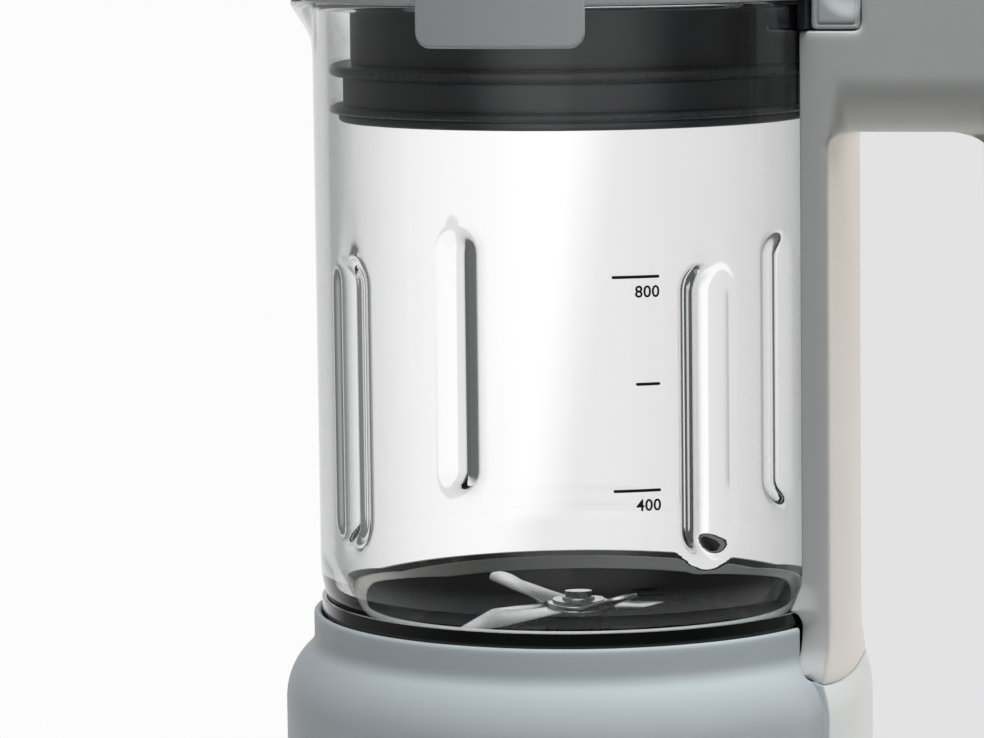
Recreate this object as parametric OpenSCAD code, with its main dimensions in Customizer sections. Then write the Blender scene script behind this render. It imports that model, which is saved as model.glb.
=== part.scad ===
// Baby food maker: a heated glass blending jug that lifts off a motor base.
// Millimetres, Z up. The origin is on the jug's axis, on the surface that the foot ring stands on.
// The handle points along +X, the pouring spout along -X and the controls along -Y.

/* [Base] */
// Height of the collar rim above the table
collar_z = 110; // [109:1:125]
// Wall of the base body
base_wall = 2.4; // [2:0.1:3]
// Wall of the collar
collar_wall = 1.6; // [1.4:0.1:1.8]
// Width of the rounded shoulder between neck and body
shoulder_w = 6.3; // [5.4:0.1:8]
// Height of the rounded shoulder
shoulder_h = 12.2; // [11:0.2:14]
// Height of the straight neck above the shoulder
neck_h = 7.3; // [6:0.1:9]
// Depth of the well under the collar rim
well_depth = 41; // [40.6:0.1:41.4]
// Thickness of the well's floor
deck_t = 2.5; // [2:0.1:3]
// Radius of the lower outer edge of the body
base_edge_r = 2; // [1:0.1:3]
// Width of the flat pad under the handle
pad_w = 48; // [46:0.5:52]
// Inset of that pad from the body's side
pad_inset = 3.3; // [3:0.1:3.6]
// Length of that pad below the collar rim
pad_drop = 36; // [30:1:44]

/* [Underside] */
// Thickness of the bottom cover
cover_t = 2.8; // [2.4:0.1:3.2]
// Gap between the table and the bottom cover
foot_gap = 2.5; // [2:0.1:3.5]
// Distance of the foot ring's middle from the base's side
foot_inset = 14.4; // [13.4:0.1:19.4]
// Width of the foot ring
foot_w = 5.6; // [4:0.2:6]
// Depth of the groove that holds the foot ring
foot_groove = 1.5; // [1:0.1:1.8]
// Width of a cooling slot
slot_w = 2.6; // [2:0.1:3]
// Count of cooling slots
slot_count = 7; // [5:2:9]
// Length of the middle cooling slot
slot_len = 52; // [40:1:60]

/* [Jug] */
// Outer radius of the glass
glass_r = 56.5; // [51:0.5:62]
// Wall of the glass
glass_t = 3.1; // [2.8:0.1:3.4]
// Height of the straight glass wall
wall_h = 122; // [110:1:135]
// Radius of the rounded lower edge of the glass
corner_r = 24; // [23:0.5:25]
// Depth of the glass bottom below the collar rim
glass_drop = 13; // [12.6:0.1:13.4]
// Width of the glass bottom from its side to its hole
ledge_w = 14.5; // [14.1:0.1:15]
// Reach of the spout beyond the glass
spout_out = 7.9; // [6:0.1:9]
// Height of the spout
spout_h = 12; // [9:0.5:15]
// Radius of the spout at the rim
spout_r = 18.4; // [15:0.2:20]
// Radius of the groove of a rib in the glass
rib_r = 3.3; // [2.6:0.1:3.6]
// Depth of that groove
rib_depth = 4.5; // [3.4:0.1:4.8]
// Drop of the upper end of a rib below the rim
rib_top = 54; // [45:1:60]
// Drop of the lower end of a rib below the rim
rib_low = 115; // [105:1:119]
// Height of the black jug base above the collar rim
lip_h = 3; // [2:0.1:3.4]
// Inset of the jug base's skirt from the glass
skirt_inset = 0.5; // [0.4:0.1:0.8]
// Wall of the jug base
skirt_t = 2.2; // [1.8:0.1:2.4]

/* [Heater] */
// Thickness of the heater plate
plate_t = 1.6; // [1.2:0.1:1.8]
// Height of the heater plate's floor above the glass bottom
plate_rise = 4; // [3.6:0.1:4.4]
// Overlap of the plate's flange on the glass
plate_over = 4.5; // [3:0.1:5]
// Radius of the heating element's ring
element_r = 29; // [27:0.5:31]
// Radius of the heating element's tube
tube_r = 3.4; // [3:0.1:3.8]
// Gap in the heating element's ring, in degrees
element_gap = 60; // [40:5:90]

/* [Handle] */
// Width of the handle
handle_w = 36; // [33:0.5:37]
// Reach of the spine beyond the glass
spine_t = 3.3; // [3.1:0.1:3.7]
// Depth of the handle's foot below the collar rim
foot_drop = 11; // [10.6:0.1:11.4]
// Drop of the seat under the lid's lug below the rim
seat_drop = 6.5; // [6:0.1:9]
// Drop of the underside of the arm below the rim
arm_drop = 28.4; // [26:0.2:34]
// Rise of the handle's top above the rim
handle_rise = 11; // [9:0.5:12]
// Space for the fingers between spine and grip
finger_space = 33.8; // [28:0.2:42]
// Depth of the grip from front to back of the hand
grip_t = 18; // [16:0.5:21]
// Height of the grip's lower end above the collar rim
grip_low = 26; // [15:1:45]
// Radius of the grip's upright edges
grip_edge = 7; // [4:0.5:8]
// Radius of the grip's outer upper corner
grip_corner = 18; // [12:1:24]

/* [Lid] */
// Height of the lid's top above the rim
lid_rise = 12; // [10:0.5:14]
// Overhang of the lid beyond the glass
lid_over = 3; // [2.5:0.1:3.5]
// Wall of the lid
lid_t = 2.4; // [2:0.1:2.8]
// Rounding of the lid's upper edge
lid_edge = 4; // [2:0.5:5]
// Space between the glass and the plug's upper section
plug_space = 5.1; // [4.4:0.1:5.8]
// Space between the glass and the plug's middle section
plug_mid_space = 3.4; // [2.8:0.1:3.8]
// Space between the glass and the plug's lowest section
plug_low_space = 2.4; // [2:0.1:2.7]
// Depth of the plug below the rim
plug_depth = 25.7; // [24:0.1:28]
// Wall of the plug
plug_t = 3.2; // [2.8:0.1:3.6]
// Drop of the upper seal below the rim
seal_drop = 13.3; // [11:0.1:14.5]
// Thickness of the upper seal
seal_t = 2.7; // [2:0.1:3]
// Thickness of the lower seal
low_seal_t = 1.8; // [1.4:0.1:2.2]
// Height of the lowest section under the lower seal
plug_foot = 1.7; // [1.3:0.1:2.2]
// Width of a grip tab
tab_w = 37; // [30:0.5:42]
// Reach of a grip tab beyond the lid
tab_out = 1.5; // [1.1:0.1:2.5]
// Drop of a grip tab below the rim
tab_drop = 8.3; // [6:0.1:10]
// Radius of a tab's lower corners
tab_corner = 4; // [2:0.5:5]
// Width of the lug over the handle
lug_w = 35; // [30:0.5:36]
// Reach of the lug beyond the glass
lug_out = 10.3; // [9.5:0.1:12]
// Radius of the feed opening
feed_r = 21; // [18:0.5:22]

/* [Feed cap] */
// Thickness of the cap's top
cap_t = 3.6; // [3:0.2:5]
// Overhang of the cap's top over the feed opening
cap_over = 3.4; // [2:0.2:5]
// Wall of the cap's skirt
cap_wall = 1.8; // [1.5:0.1:2.2]
// Height of the grip bar
bar_h = 6; // [4:0.5:8]
// Width of the grip bar
bar_w = 7; // [5:0.5:9]
// Radius of a steam hole
steam_r = 1.2; // [0.8:0.1:1.6]

/* [Blades] */
// Thickness of the blade steel
blade_t = 1; // [0.8:0.1:1.2]
// Reach of the two lower wings
low_wing_reach = 29; // [24:0.5:32]
// Reach of the broad raised wing
high_wing_reach = 22; // [18:0.5:26]
// Rise of the raised wings, in degrees
high_wing_rise = 20; // [10:1:35]
// Droop of the lower wings, in degrees
low_wing_droop = 7; // [3:0.5:8]
// Width of a wing at its root
wing_root = 10; // [8:0.5:11]
// Width of a wing near its tip
wing_tip = 4.4; // [3:0.2:6]
// Radius of the blades' hub
hub_r = 7; // [6:0.2:8]
// Radius of the blade nut
nut_r = 4.8; // [4.4:0.1:5.6]

/* [Motor] */
// Radius of the motor and blade shafts
shaft_r = 3; // [2.6:0.1:3.2]
// Radius of the stator
stator_r = 29; // [28.5:0.1:30]
// Height of the stator
stator_h = 26; // [22:0.5:26]
// Bore radius of the stator
stator_bore = 17.5; // [17.4:0.1:17.8]
// Height of the motor frame's legs
leg_h = 7; // [6.8:0.1:7]
// Thickness of the motor frame's plates
frame_t = 2; // [1.6:0.1:2.2]
// Radius of the circle of the motor's mounts
mount_circle = 37; // [36:0.5:39]
// Height of a rubber mount
mount_h = 3.5; // [3:0.1:3.6]
// Height of the posts under the deck
post_h = 4; // [3.5:0.1:4.2]
// Radius of the coupling
coupling_r = 12; // [11:0.2:12.4]
// Count of dogs on each half of the coupling
dog_count = 4; // [3:1:5]
// Width of a dog, in degrees
dog_angle = 28; // [20:1:30]
// Height of a dog
dog_h = 6; // [4:0.2:6.4]

/* [Controls] */
// Width of the control panel
panel_w = 34; // [33:0.2:36]
// Height of the control panel
panel_h = 58; // [56:0.5:60]
// Height of the panel's middle above the table
panel_z = 40; // [39:0.5:43]
// Step from the housing down to the recess of the panel, at its sides
panel_step = 0.3; // [0.2:0.1:0.6]
// Radius of the knob
knob_r = 13.5; // [12:0.1:14]
// Reach of the knob in front of the panel
knob_h = 13; // [10:0.5:18]
// Drop of the knob's axis below the panel's middle
knob_drop = 10; // [9.5:0.5:12]
// Radius of the start button
button_r = 6.5; // [5.5:0.1:7]
// Rise of the button's axis above the panel's middle
button_rise = 18; // [17.5:0.5:19]
// Travel of the start button
button_travel = 1.5; // [1:0.1:1.6]
// Radius of the pilot light's lens
lens_r = 2; // [1.5:0.1:2.2]
// Bore radius of the cord gland
cord_r = 3.3; // [3:0.1:3.6]
// Height of the cord gland above the table
gland_z = 18; // [17:0.5:22]

/* [Fits] */
// Radial clearance of a turning shaft or a screw
run_gap = 0.06; // [0.04:0.01:0.08]
// Gap between pieces that lift apart
lift_gap = 0.3; // [0.25:0.05:0.4]
// Gap round a piece that is set into another
set_gap = 0.15; // [0.1:0.05:0.2]
// Gap between the jug base and the well
well_gap = 0.5; // [0.4:0.05:0.6]

/* [Hidden] */
$fn = 144;
e = 0.01;

// Levels
deck_z = collar_z - well_depth;
deck_low = deck_z - deck_t;
shoulder_z = collar_z - neck_h - shoulder_h;
cover_top = foot_gap + cover_t;
glass_z = collar_z - glass_drop;
corner_z = glass_z + corner_r;
rim_z = corner_z + wall_h;
lid_z = rim_z + lid_rise;
foot_z = collar_z - foot_drop;
plate_z = glass_z + plate_rise;
skirt_z = deck_z + lift_gap;

// Radii that follow the glass
glass_in = glass_r - glass_t;
glass_hole_r = glass_r - ledge_w;
centre_r = glass_r - corner_r;
skirt_r = glass_r - skirt_inset;
skirt_in = skirt_r - skirt_t;
well_r = skirt_r + well_gap;
collar_r = well_r + collar_wall;
base_r = collar_r + shoulder_w;
inner_r = base_r - base_wall;
spine_x = glass_r + spine_t;
lid_r = glass_r + lid_over;

// Base
shoulder_r = (shoulder_w * shoulder_w + shoulder_h * shoulder_h) / (2 * shoulder_w);
foot_r = base_r - foot_inset;
boss_r = 4.5;
boss_circle = inner_r - boss_r + 1;
notch_w = handle_w + 2 * 1.2;
pad_x = base_r - pad_inset;
pad_low = collar_z - pad_drop;
pad_top = collar_z - neck_h - 0.3;
cover_r = inner_r - lift_gap;
screw_r = 1.5;
head_r = 3;
head_h = 1.8;
screw_l = 12;

// Motor, set out downwards from the deck
ear_top = deck_low - post_h - mount_h;
ear_low = ear_top - frame_t;
stator_top = ear_low - leg_h;
stator_low = stator_top - stator_h;
lower_top = stator_low - leg_h;
lower_low = lower_top - frame_t;
leg_circle = (stator_r + stator_bore) / 2 + 2.2;
bearing_r = 7;
bearing_h = 5;
cup_t = 1.8;
bolt_r = 1.6;
comm_r = 9;
ear_r = 5.5;
pad_r = 5;
leg_r = 3.4;
arm_w = 9;
shaft_air = 2;
nut_across = 3;
nut_h = 1.8;
coil_x = stator_bore + 0.8;
coil_t = 4;
coil_w = 28;
coil_bar = 5;

// Coupling
drive_z = deck_z + 2;
flange_t = 3;
dog_gap = 1;
driven_z = drive_z + flange_t + dog_h + dog_gap;
dog_in = coupling_r - 5;

// Jug base
lip_r = glass_r - 0.2;
cradle_z = plate_z - 9;
cradle_r = glass_hole_r + 0.5;
jug_cover_z = skirt_z + 1.7;
jug_cover_t = 2.5;
jug_boss_r = 3.6;
jug_boss_circle = skirt_in - jug_boss_r - 0.4;
plug_l = 14;
plug_x = skirt_in - plug_l / 2 - 6.1;
plug_w = 24;
pin_r = 1.8;
pin_pitch = 7.5;

// Blades
housing_r = 7.5;
housing_flange = 13;
bush_r = 5;
bush_h = 5;
blade_z = plate_z + 4.6;
shaft_shoulder = 4.5;

// Lid
plug_r = glass_in - plug_space;
plug_mid_r = glass_in - plug_mid_space;
plug_low_r = glass_in - plug_low_space;
tab_r = lid_r + tab_out;
lug_reach = glass_r + lug_out;
seal_r = glass_in - lift_gap;
seal_in = plug_r - 1.5;
seat_gap = 0.05;
low_seal_z = rim_z - plug_depth + plug_foot;
lid_low = rim_z + lift_gap;
chimney_t = 2.2;
spout_x = glass_r + spout_out - spout_r;

// Handle
glass_gap = 0.5;
arm_z = rim_z - arm_drop;
seat_z = rim_z - seat_drop;
lug_low = seat_z + lift_gap;
handle_top = rim_z + handle_rise;
pocket_x = lug_reach + lift_gap;
grip_in = spine_x + finger_space;
grip_reach = grip_in + grip_t;
split_x = grip_in + grip_t * 0.55;
tongue_w = 18;
tongue_x = skirt_r - 1.7;
tongue_top = collar_z - 2.5;

// Controls
panel_y = sqrt(base_r * base_r - panel_w * panel_w / 4) - panel_step;
panel_face = base_r + 0.4;
panel_back_t = 3;
knob_z = panel_z - knob_drop;
button_z = panel_z + button_rise;
lens_z = (knob_z + knob_r + button_z - button_r) / 2;
board_y = panel_y - panel_back_t - 7.6;
board_t = 1.6;
board_w = 44;
power_y = inner_r - 17;
power_w = 52;
power_h = 44;

// Shared shapes

module ring(outer, inner, h) {
  difference() {
    cylinder(r = outer, h = h);
    translate([0, 0, -e]) cylinder(r = inner, h = h + 2 * e);
  }
}

module at_angles(angles, radius) {
  for (a = angles) rotate([0, 0, a]) translate([radius, 0, 0]) rotate([0, 0, -a]) children();
}

// Turns a shape that stands along Z so that it points out of the front, along -Y.
module facing_front(x, z) {
  translate([x, 0, z]) rotate([90, 0, 0]) children();
}

module pill(w, h) {
  translate([0, (h - w) / 2]) circle(d = w);
  translate([0, -(h - w) / 2]) circle(d = w);
  square([w, h - w], center = true);
}

module rounded_square(w, h, r) {
  for (x = [-1, 1], y = [-1, 1]) translate([x * (w / 2 - r), y * (h / 2 - r)]) circle(r);
  square([w - 2 * r, h], center = true);
  square([w, h - 2 * r], center = true);
}

module screw(length, radius = screw_r, head = head_r, head_t = head_h) {
  cylinder(r = head, h = head_t);
  translate([0, 0, head_t - e]) cylinder(r = radius, h = length + e);
}

// Base

quarter = [45, 135, 225, 315];

// Half section of the body and its shoulder, grown by a margin.
module body_section(grow) {
  square([base_r + grow, shoulder_z]);
  translate([base_r - shoulder_r, shoulder_z]) circle(shoulder_r + grow);
  square([base_r - shoulder_r, shoulder_z + shoulder_r / 2]);
}

module housing_outside() {
  rotate_extrude() {
    difference() {
      body_section(0);
      translate([-base_r, 0]) square([base_r, 2 * collar_z]);
      square([base_r + 1, foot_gap + base_edge_r]);
      translate([0, collar_z - 2]) square([base_r, base_r]);
    }
    translate([0, foot_gap]) square([base_r - base_edge_r, base_edge_r + 1]);
    translate([base_r - base_edge_r, foot_gap + base_edge_r]) circle(base_edge_r);
    square([collar_r, collar_z - collar_wall / 2]);
    translate([well_r + collar_wall / 2, collar_z - collar_wall / 2]) circle(collar_wall / 2);
  }
}

module upright(width) {
  translate([0, width / 2, 0]) rotate([90, 0, 0]) linear_extrude(width) children();
}

// Side view of the flat pad and of all that is behind it, grown by a margin.
module pad_outline(grow) {
  square([pad_x + grow, shoulder_z]);
  translate([pad_x - shoulder_r, shoulder_z]) circle(shoulder_r + grow);
}

module pad_region(grow) {
  translate([well_r - 8, pad_low]) square([base_r - well_r + 8 + grow, pad_top - pad_low]);
}

module pad_cut() upright(pad_w) difference() {
  pad_region(1);
  pad_outline(0);
}

// The pad's wall and the ledge that closes its lower end.
module pad_wall() {
  upright(pad_w) intersection() {
    pad_region(0);
    difference() {
      pad_outline(0);
      pad_outline(-base_wall);
    }
  }
  intersection() {
    housing_outside();
    translate([pad_x - base_wall, -pad_w / 2, pad_low - base_wall])
      cube([base_r, pad_w, base_wall + e]);
  }
}

module panel_shape(w, h, from_y, to_y) {
  translate([0, -from_y, panel_z]) rotate([90, 0, 0]) linear_extrude(to_y - from_y) pill(w, h);
}

module base_housing() color("#bcc5ca") {
  difference() {
    union() {
      difference() {
        housing_outside();
        rotate_extrude() difference() {
          body_section(-base_wall);
          translate([-base_r, 0]) square([base_r, 2 * collar_z]);
          translate([0, deck_low]) square([collar_r, 2 * collar_z]);
        }
        translate([0, 0, deck_z]) cylinder(r = well_r, h = well_depth + e);
        pad_cut();
      }
      difference() {
        pad_wall();
        cylinder(r = well_r, h = 2 * collar_z);
      }
      translate([0, 0, cover_top]) at_angles(quarter, boss_circle)
        cylinder(r = boss_r, h = deck_low - cover_top + e);
      translate([0, 0, deck_low - post_h]) at_angles(quarter, mount_circle)
        cylinder(r = pad_r, h = post_h + e);
      translate([0, 0, deck_z - e]) ring(shaft_r + 7.5, shaft_r + 6, 1.2 + e);
      panel_shape(panel_w - 1, panel_h + 4, panel_y - panel_back_t, inner_r + 0.15);
    }
    // Openings for the jug's handle, the panel, the socket, the shaft and the cord gland
    translate([collar_r - 20, -notch_w / 2, foot_z - lift_gap]) cube([40, notch_w, well_depth]);
    panel_shape(panel_w, panel_h, panel_y, base_r + 2);
    facing_front(0, knob_z) cylinder(r = shaft_r + 0.5, h = base_r);
    facing_front(0, button_z) cylinder(r = 2.5, h = base_r);
    facing_front(0, lens_z) cylinder(r = lens_r + set_gap, h = base_r);
    translate([plug_x, 0, deck_z - deck_t / 2])
      cube([plug_l + 2 * set_gap, plug_w + 2 * set_gap, 2 * deck_t], center = true);
    translate([0, 0, deck_low - 1]) cylinder(r = shaft_r + 2, h = deck_t + 4);
    translate([0, 0, cover_top - 1]) at_angles(quarter, boss_circle)
      cylinder(r = screw_r + run_gap, h = screw_l + 2);
    translate([0, 0, deck_low - post_h - 1]) at_angles(quarter, mount_circle)
      cylinder(r = screw_r + run_gap, h = post_h + 1);
    translate([0, base_r - 10, gland_z]) rotate([-90, 0, 0])
      cylinder(r = cord_r + 2.5 + set_gap, h = 20);
  }
}

slot_pitch = 7;
post_t = 5;

module board_post(board_thickness) {
  difference() {
    translate([-2, -post_t / 2 - 1, 0]) cube([4, post_t + 2, 9]);
    translate([-3, -board_thickness / 2 - set_gap / 2, -1])
      cube([6, board_thickness + set_gap, 12]);
  }
}

module bottom_cover() color("#3a3c40") {
  difference() {
    translate([0, 0, foot_gap]) cylinder(r = cover_r, h = cover_t);
    translate([0, 0, foot_gap - e])
      ring(foot_r + foot_w / 2 + set_gap, foot_r - foot_w / 2 - set_gap, foot_groove + e);
    at_angles(quarter, boss_circle) {
      cylinder(r = screw_r + 0.3, h = 10);
      cylinder(r = head_r + 0.3, h = foot_gap + head_h + 0.2);
    }
    for (i = [0 : slot_count - 1]) {
      x = (i - (slot_count - 1) / 2) * slot_pitch;
      length = slot_len - abs(x);
      translate([x, 0, 0]) linear_extrude(10) pill(slot_w, length);
    }
  }
  for (side = [-1, 1]) {
    translate([side * (board_w / 2 - 1), -board_y + board_t / 2, cover_top - e])
      board_post(board_t);
    translate([side * (power_w / 2 - 1), power_y + board_t / 2, cover_top - e])
      board_post(board_t);
  }
}

module foot_ring() color("#2a2a2c")
  ring(foot_r + foot_w / 2, foot_r - foot_w / 2, foot_gap + foot_groove);

module bottom_screws() color("silver")
  translate([0, 0, foot_gap + 0.2]) at_angles(quarter, boss_circle) screw(screw_l);

module control_panel() color("#55595e") {
  difference() {
    intersection() {
      panel_shape(panel_w - 2 * set_gap, panel_h - 2 * set_gap, panel_y, panel_face + 1);
      cylinder(r = panel_face, h = collar_z, $fn = 360);
    }
    translate([0, -panel_face + 1.6, 0]) facing_front(0, knob_z) cylinder(r = knob_r + 0.5, h = 5);
    facing_front(0, knob_z) cylinder(r = shaft_r + 0.5, h = base_r + 2);
    facing_front(0, button_z) cylinder(r = button_r + 0.25, h = base_r + 2);
    facing_front(0, lens_z) cylinder(r = lens_r + set_gap, h = base_r + 2);
  }
}

module indicator_lens() color("#e8f4f0")
  translate([0, -board_y, 0]) facing_front(0, lens_z)
    cylinder(r = lens_r, h = panel_face + 0.3 - board_y);

module control_board() color("#2f6b45")
  translate([-board_w / 2, -board_y, cover_top]) {
    cube([board_w, board_t, button_z + 5 - cover_top]);
    translate([4, board_t - e, 24]) cube([12, 9, 15]);
    translate([24, board_t - e, 30]) cube([15, 6, 10]);
    translate([30, board_t + 4, 12]) cylinder(r = 4, h = 12);
    translate([30, board_t + 2, 17]) cube([3, 4, 3], center = true);
  }

module selector_switch() color("#8a8d90")
  translate([0, -board_y, 0]) difference() {
    translate([-9, -7.3, knob_z - 9]) cube([18, 7.3, 18]);
    translate([0, 1, 0]) facing_front(0, knob_z) cylinder(r = shaft_r + run_gap, h = 20);
  }

module start_switch() color("#d8d8d4")
  translate([-3.5, -board_y - 2.8, button_z - 3.5]) cube([7, 2.8, 7]);

module power_board() color("#2f6b45")
  translate([-power_w / 2, power_y, cover_top]) {
    cube([power_w, board_t, power_h]);
    translate([6, board_t + 5 - e, 20]) cylinder(r = 5, h = 18);
    translate([3, board_t - e, 24]) cube([6, 6, 8]);
    translate([34, board_t - e, 20]) cube([14, 8, 16]);
    translate([20, board_t - e, 26]) cube([8, 10, 12]);
  }

socket_h = 13;

module pin_row() {
  for (i = [-1, 0, 1]) translate([plug_x, i * pin_pitch, 0]) children();
}

module base_socket() color("#26272a")
  difference() {
    union() {
      translate([plug_x, 0, deck_z - socket_h / 2]) cube([plug_l, plug_w, socket_h], center = true);
      translate([plug_x, 0, deck_low - 1]) cube([plug_l + 4, plug_w + 4, 2], center = true);
    }
    translate([0, 0, deck_z - socket_h + 1]) pin_row() cylinder(r = pin_r + 0.9 + run_gap, h = 20);
  }

module socket_contacts() color("#c8a860")
  translate([0, 0, deck_z - socket_h + 1]) pin_row() ring(pin_r + 0.9, pin_r + 0.2, socket_h - 2);

gland_face = 3;

module cord_gland() color("#3a3c40")
  translate([0, 0, gland_z]) rotate([-90, 0, 0]) difference() {
    union() {
      translate([0, 0, inner_r - 5]) cylinder(r = cord_r + 2.5, h = base_r - inner_r + 5 + gland_face);
      translate([0, 0, inner_r - 5]) cylinder(r = cord_r + 4.2, h = 4);
      translate([0, 0, base_r + 0.3]) cylinder(r1 = cord_r + 4.2, r2 = cord_r + 3, h = gland_face);
    }
    translate([0, 0, inner_r - 6]) cylinder(r = cord_r, h = 20);
  }

// Motor

// Plate with arms, bearing cup and legs. The plate stands on the legs' far end.
module motor_frame(reach, end_r) {
  difference() {
    union() {
      linear_extrude(frame_t) {
        circle(stator_bore + 3);
        for (a = quarter) rotate(a) {
          translate([0, -arm_w / 2]) square([reach, arm_w]);
          translate([reach, 0]) circle(end_r);
        }
      }
      cylinder(r = bearing_r + cup_t, h = bearing_h + 1.5);
      translate([0, 0, -leg_h]) at_angles(quarter, leg_circle) cylinder(r = leg_r, h = leg_h + e);
    }
    translate([0, 0, -1]) cylinder(r = bearing_r + run_gap, h = bearing_h + 1.5);
    cylinder(r = shaft_r + shaft_air, h = 4 * bearing_h);
    translate([0, 0, -leg_h - 1]) at_angles(quarter, leg_circle)
      cylinder(r = bolt_r + run_gap, h = leg_h + frame_t + 2);
    if (reach > leg_circle) translate([0, 0, -1]) at_angles(quarter, reach)
      cylinder(r = screw_r + 0.3, h = frame_t + 2);
  }
}

module motor_frame_top() color("#9a9da0") translate([0, 0, ear_low]) motor_frame(mount_circle, ear_r);

module motor_frame_bottom() color("#9a9da0")
  translate([0, 0, lower_top]) mirror([0, 0, 1]) motor_frame(leg_circle, arm_w / 2);

module coil_slots() {
  for (x = [-1, 1], y = [-1, 1])
    translate([x * (coil_x + coil_t / 2), y * (coil_w - coil_bar) / 2, 0])
      cube([coil_t + 0.6, coil_bar + 0.6, 4 * stator_h], center = true);
}

module motor_stator() color("#6f7376")
  translate([0, 0, stator_low]) difference() {
    ring(stator_r, stator_bore, stator_h);
    coil_slots();
    translate([0, 0, -1]) at_angles(quarter, leg_circle)
      cylinder(r = bolt_r + run_gap, h = stator_h + 2);
  }

module field_coils() color("#b5713a")
  for (side = [-1, 1])
    translate([side * (coil_x + coil_t / 2), 0, stator_low + stator_h / 2]) difference() {
      cube([coil_t, coil_w, stator_h + 2 * coil_bar], center = true);
      cube([coil_t + 1, coil_w - 2 * coil_bar, stator_h + 0.2], center = true);
    }

module motor_bolts() color("silver")
  at_angles(quarter, leg_circle) {
    translate([0, 0, lower_low - nut_h]) cylinder(r = bolt_r + 1.2, h = nut_h);
    translate([0, 0, lower_low - e]) cylinder(r = bolt_r, h = ear_top - lower_low + nut_h + e);
    translate([0, 0, ear_top]) cylinder(r = nut_across, h = nut_h, $fn = 6);
  }

module brush_holders() color("#c8a860")
  for (side = [-1, 1]) translate([0, side * (comm_r + 7.5), lower_top]) difference() {
    translate([-4, -5.5, 0]) cube([8, 11, 6.2]);
    translate([-2.5, -6, 0.8]) cube([5, 12, 4.6]);
  }

module carbon_brushes() color("#303030")
  for (side = [-1, 1]) translate([-2.4, side > 0 ? comm_r + run_gap : -comm_r - run_gap - 11, lower_top + 0.9])
    cube([4.8, 11, 4.4]);

module bearing() ring(bearing_r, shaft_r + run_gap, bearing_h);

module upper_bearing() color("#b0a080") translate([0, 0, ear_low + 0.3]) bearing();

module lower_bearing() color("#b0a080") translate([0, 0, lower_top - 0.3 - bearing_h]) bearing();

module motor_mounts() color("#2a2a2c")
  translate([0, 0, ear_top]) at_angles(quarter, mount_circle) ring(pad_r, screw_r + 0.3, mount_h);

module mount_screws() color("silver")
  translate([0, 0, ear_low - head_h]) at_angles(quarter, mount_circle)
    screw(frame_t + mount_h + post_h - 0.6);

// Drive

shaft_low = lower_top - bearing_h - 0.8;

module motor_shaft() color("#c8cacc")
  translate([0, 0, shaft_low]) cylinder(r = shaft_r, h = drive_z + flange_t + 3 - shaft_low);

module motor_rotor() color("#7d8184")
  translate([0, 0, stator_low + 1]) difference() {
    union() {
      difference() {
        cylinder(r = stator_bore - 0.6, h = stator_h - 2);
        for (a = [0 : 30 : 359]) rotate([0, 0, a])
          translate([stator_bore - 5, -0.8, -1]) cube([10, 1.6, stator_h]);
      }
      translate([0, 0, -1.6]) cylinder(r = stator_bore - 5.5, h = stator_h + 1.2);
    }
    translate([0, 0, -5]) cylinder(r = shaft_r + run_gap, h = stator_h + 10);
  }

module commutator() color("#b5713a")
  translate([0, 0, lower_top + 0.8]) difference() {
    cylinder(r = comm_r, h = leg_h - 1.6);
    translate([0, 0, -1]) cylinder(r = shaft_r + run_gap, h = leg_h + 2);
    for (a = [0 : 30 : 359]) rotate([0, 0, a])
      translate([comm_r - 1, -0.25, -1]) cube([3, 0.5, leg_h + 2]);
  }

module cooling_fan() color("#e0e0da")
  translate([0, 0, stator_top + 0.9]) difference() {
    union() {
      cylinder(r = 5, h = leg_h - 1.8);
      cylinder(r = stator_bore - 1.5, h = 1);
      for (a = [0 : 30 : 359]) rotate([0, 0, a])
        translate([4, -0.5, 0]) cube([stator_bore - 6.5, 1, leg_h - 1.8]);
    }
    translate([0, 0, -1]) cylinder(r = shaft_r + run_gap, h = leg_h + 2);
  }

// One ring of dogs, cut from a tube by sectors.
module dogs(start) {
  intersection() {
    ring(coupling_r, dog_in, dog_h);
    for (i = [0 : dog_count - 1]) rotate([0, 0, start + i * 360 / dog_count])
      linear_extrude(dog_h) polygon([
        [0, 0],
        2 * coupling_r * [cos(dog_angle / 2), -sin(dog_angle / 2)],
        2 * coupling_r * [cos(dog_angle / 2), sin(dog_angle / 2)]
      ]);
  }
}

module drive_coupling() color("#2c2d30")
  translate([0, 0, drive_z]) {
    difference() {
      union() {
        cylinder(r = coupling_r, h = flange_t);
        cylinder(r = shaft_r + 2.4, h = flange_t + 3.6);
      }
      translate([0, 0, -1]) cylinder(r = shaft_r + run_gap, h = flange_t + 4.2);
    }
    translate([0, 0, flange_t - e]) dogs(0);
  }

// Jug

// Half section of the glass, grown outwards by a margin, with its rounded lower edge.
module glass_section(grow) {
  translate([0, corner_z]) square([glass_r + grow, wall_h + 60]);
  translate([centre_r, corner_z]) circle(corner_r + grow);
  translate([0, corner_z - corner_r - grow]) square([centre_r, corner_r + 10]);
}

module rib(radius) {
  low = rim_z - rib_low + rib_r + 2;
  high = rim_z - rib_top - rib_r - 2;
  centre = glass_r - rib_depth + rib_r;
  at_angles(quarter, centre) {
    translate([0, 0, low]) cylinder(r = radius, h = high - low);
    translate([0, 0, low]) sphere(radius);
    translate([0, 0, high]) sphere(radius);
  }
}

module spout(grow) {
  translate([-spout_x, 0, rim_z - spout_h])
    cylinder(r1 = glass_r - spout_x + grow - 1, r2 = spout_r + grow, h = spout_h);
}

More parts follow.
